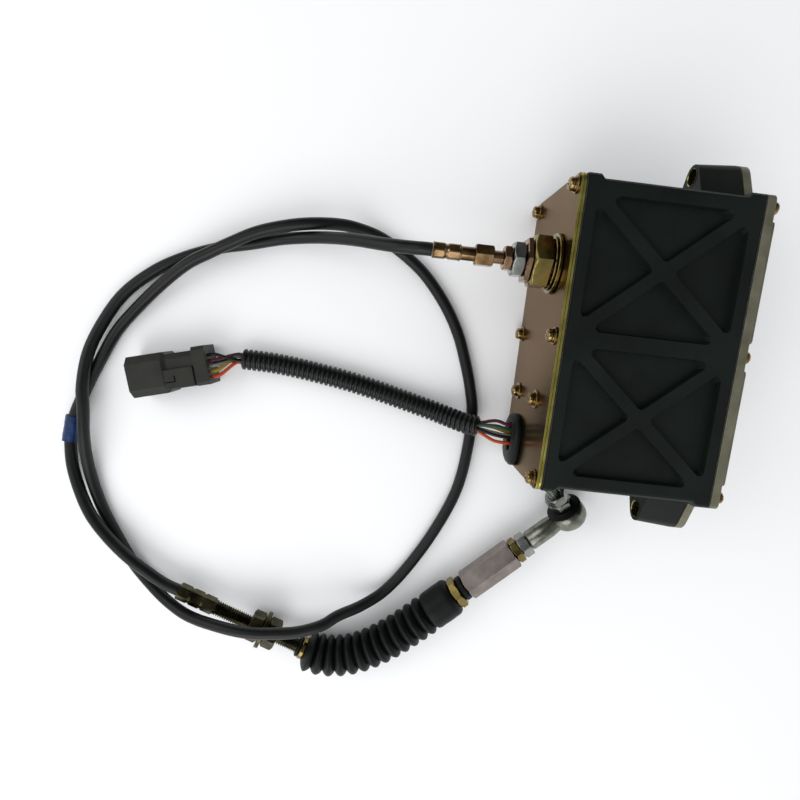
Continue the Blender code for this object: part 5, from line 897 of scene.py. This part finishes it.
# Grommet: moulded rubber, domed outside the plate.
make_piece("plate_grommet", round_edges(merged_copy("grommet"), 0.0006), black_rubber, "case", ["grommet"],
           sharp=60)


# Connector: six-way sealed housing moulded in glass-filled nylon, with a collar and a chamfered hood. On its
# top lie the raised latch and its guides, in four blocks with fine grooves between them.
LATCH_THICK = 0.0040
LATCH_RISE = 0.0098
LATCH_BLOCKS = (
    ((-0.0026, 0.0014), (0.0085, 0.0262)), ((-0.0102, -0.0020), (0.0085, 0.0196)),
    ((-0.0058, -0.0020), (0.0201, 0.0262)), ((-0.0102, -0.0063), (0.0190, 0.0262)),
)

# Glass-filled nylon: dark grey with a warm cast and fine pale fibres.
plug_nylon = surface("glass_filled_nylon", ("#171913", "#1d1f18", "#23251d"), (0.42, 0.55), 14.0, 0.3, 0.012,
                     speck=("#3c3d36", 0.2), Specular_IOR_Level=0.4)
plug = make_piece("connector_housing", round_edges(merged_copy("connector_body"), 0.0004), plug_nylon, "case",
                  ["connector_body"], sharp=35, flat=True)

latch_parts = []
for across, along in LATCH_BLOCKS:
    block = bmesh.new()
    bmesh.ops.create_cube(block, size=1.0)
    size = (LATCH_THICK, across[1] - across[0], along[1] - along[0])
    bmesh.ops.scale(block, vec=size, verts=block.verts)
    bmesh.ops.translate(block, vec=(LATCH_RISE, sum(across) / 2, sum(along) / 2), verts=block.verts)
    latch_parts.append(round_edges(block, 0.0003, segments=2))
latch = make_piece("connector_latch", join_shapes(*latch_parts), plug_nylon, "case", (),
                   plug_place.copy(), sharp=35, flat=True)


# Gaskets and the mechanism inside, which keep their solids and take finishes of their own: dull fibre, plated
# brackets, pale moulded gears, ground shafts, brown bronze bearings, the motor's can and the black sensor.
gasket_fibre = surface("compressed_fibre_gasket", ("#171717", "#1f1f1e", "#292927"), (0.7, 0.85), 3.0, 0.3,
                       0.03)
chassis_zinc = surface("zinc_plated_bracket", ("#8f8c74", "#a5a288", "#b8b59b"), (0.3, 0.42), 8.0, 0.5, 0.01,
                       metallic=1.0)
gear_nylon = surface("moulded_natural_nylon", ("#cfc9b4", "#d9d4c2", "#e2decf"), (0.38, 0.5), 7.0, 0.4, 0.01)
ground_steel = surface("ground_steel", ("#8d8f90", "#9d9fa0", "#aeb0b1"), (0.2, 0.3), 2.0, 0.2, 0.004,
                       metallic=1.0)
sintered_bronze = surface("sintered_bronze", ("#7a5a34", "#8b683e", "#9c784b"), (0.4, 0.55), 2.0, 0.25, 0.02,
                          metallic=1.0)
motor_can = surface("zinc_plated_motor_can", ("#8a8d8e", "#9a9d9e", "#a9acad"), (0.28, 0.38), 9.0, 0.5, 0.01,
                    metallic=1.0)
sensor_case = surface("black_sensor_plastic", ("#161718", "#1c1d1e", "#232425"), (0.4, 0.52), 6.0, 0.4, 0.015)
INSIDE = {
    "plate_gasket": gasket_fibre, "cover_gasket": gasket_fibre, "gland_body": gold_zinc,
    "gland_inner_nut": gold_zinc, "chassis": chassis_zinc, "top_bearing_plate": chassis_zinc,
    "rack_guide": gear_nylon, "output_gear": gear_nylon, "compound_gear": gear_nylon, "rack": gear_nylon,
    "output_shaft": ground_steel, "compound_shaft": ground_steel, "motor_pinion": sintered_bronze,
    "core_rod": ground_steel, "motor": motor_can, "position_sensor": sensor_case,
    "output_bushing_lower": sintered_bronze, "output_bushing_upper": sintered_bronze,
    "compound_bushing_lower": sintered_bronze, "compound_bushing_upper": sintered_bronze,
}
for node, finish in INSIDE.items():
    mesh = nodes[node].data
    for k in range(len(mesh.materials)):
        mesh.materials[k] = finish
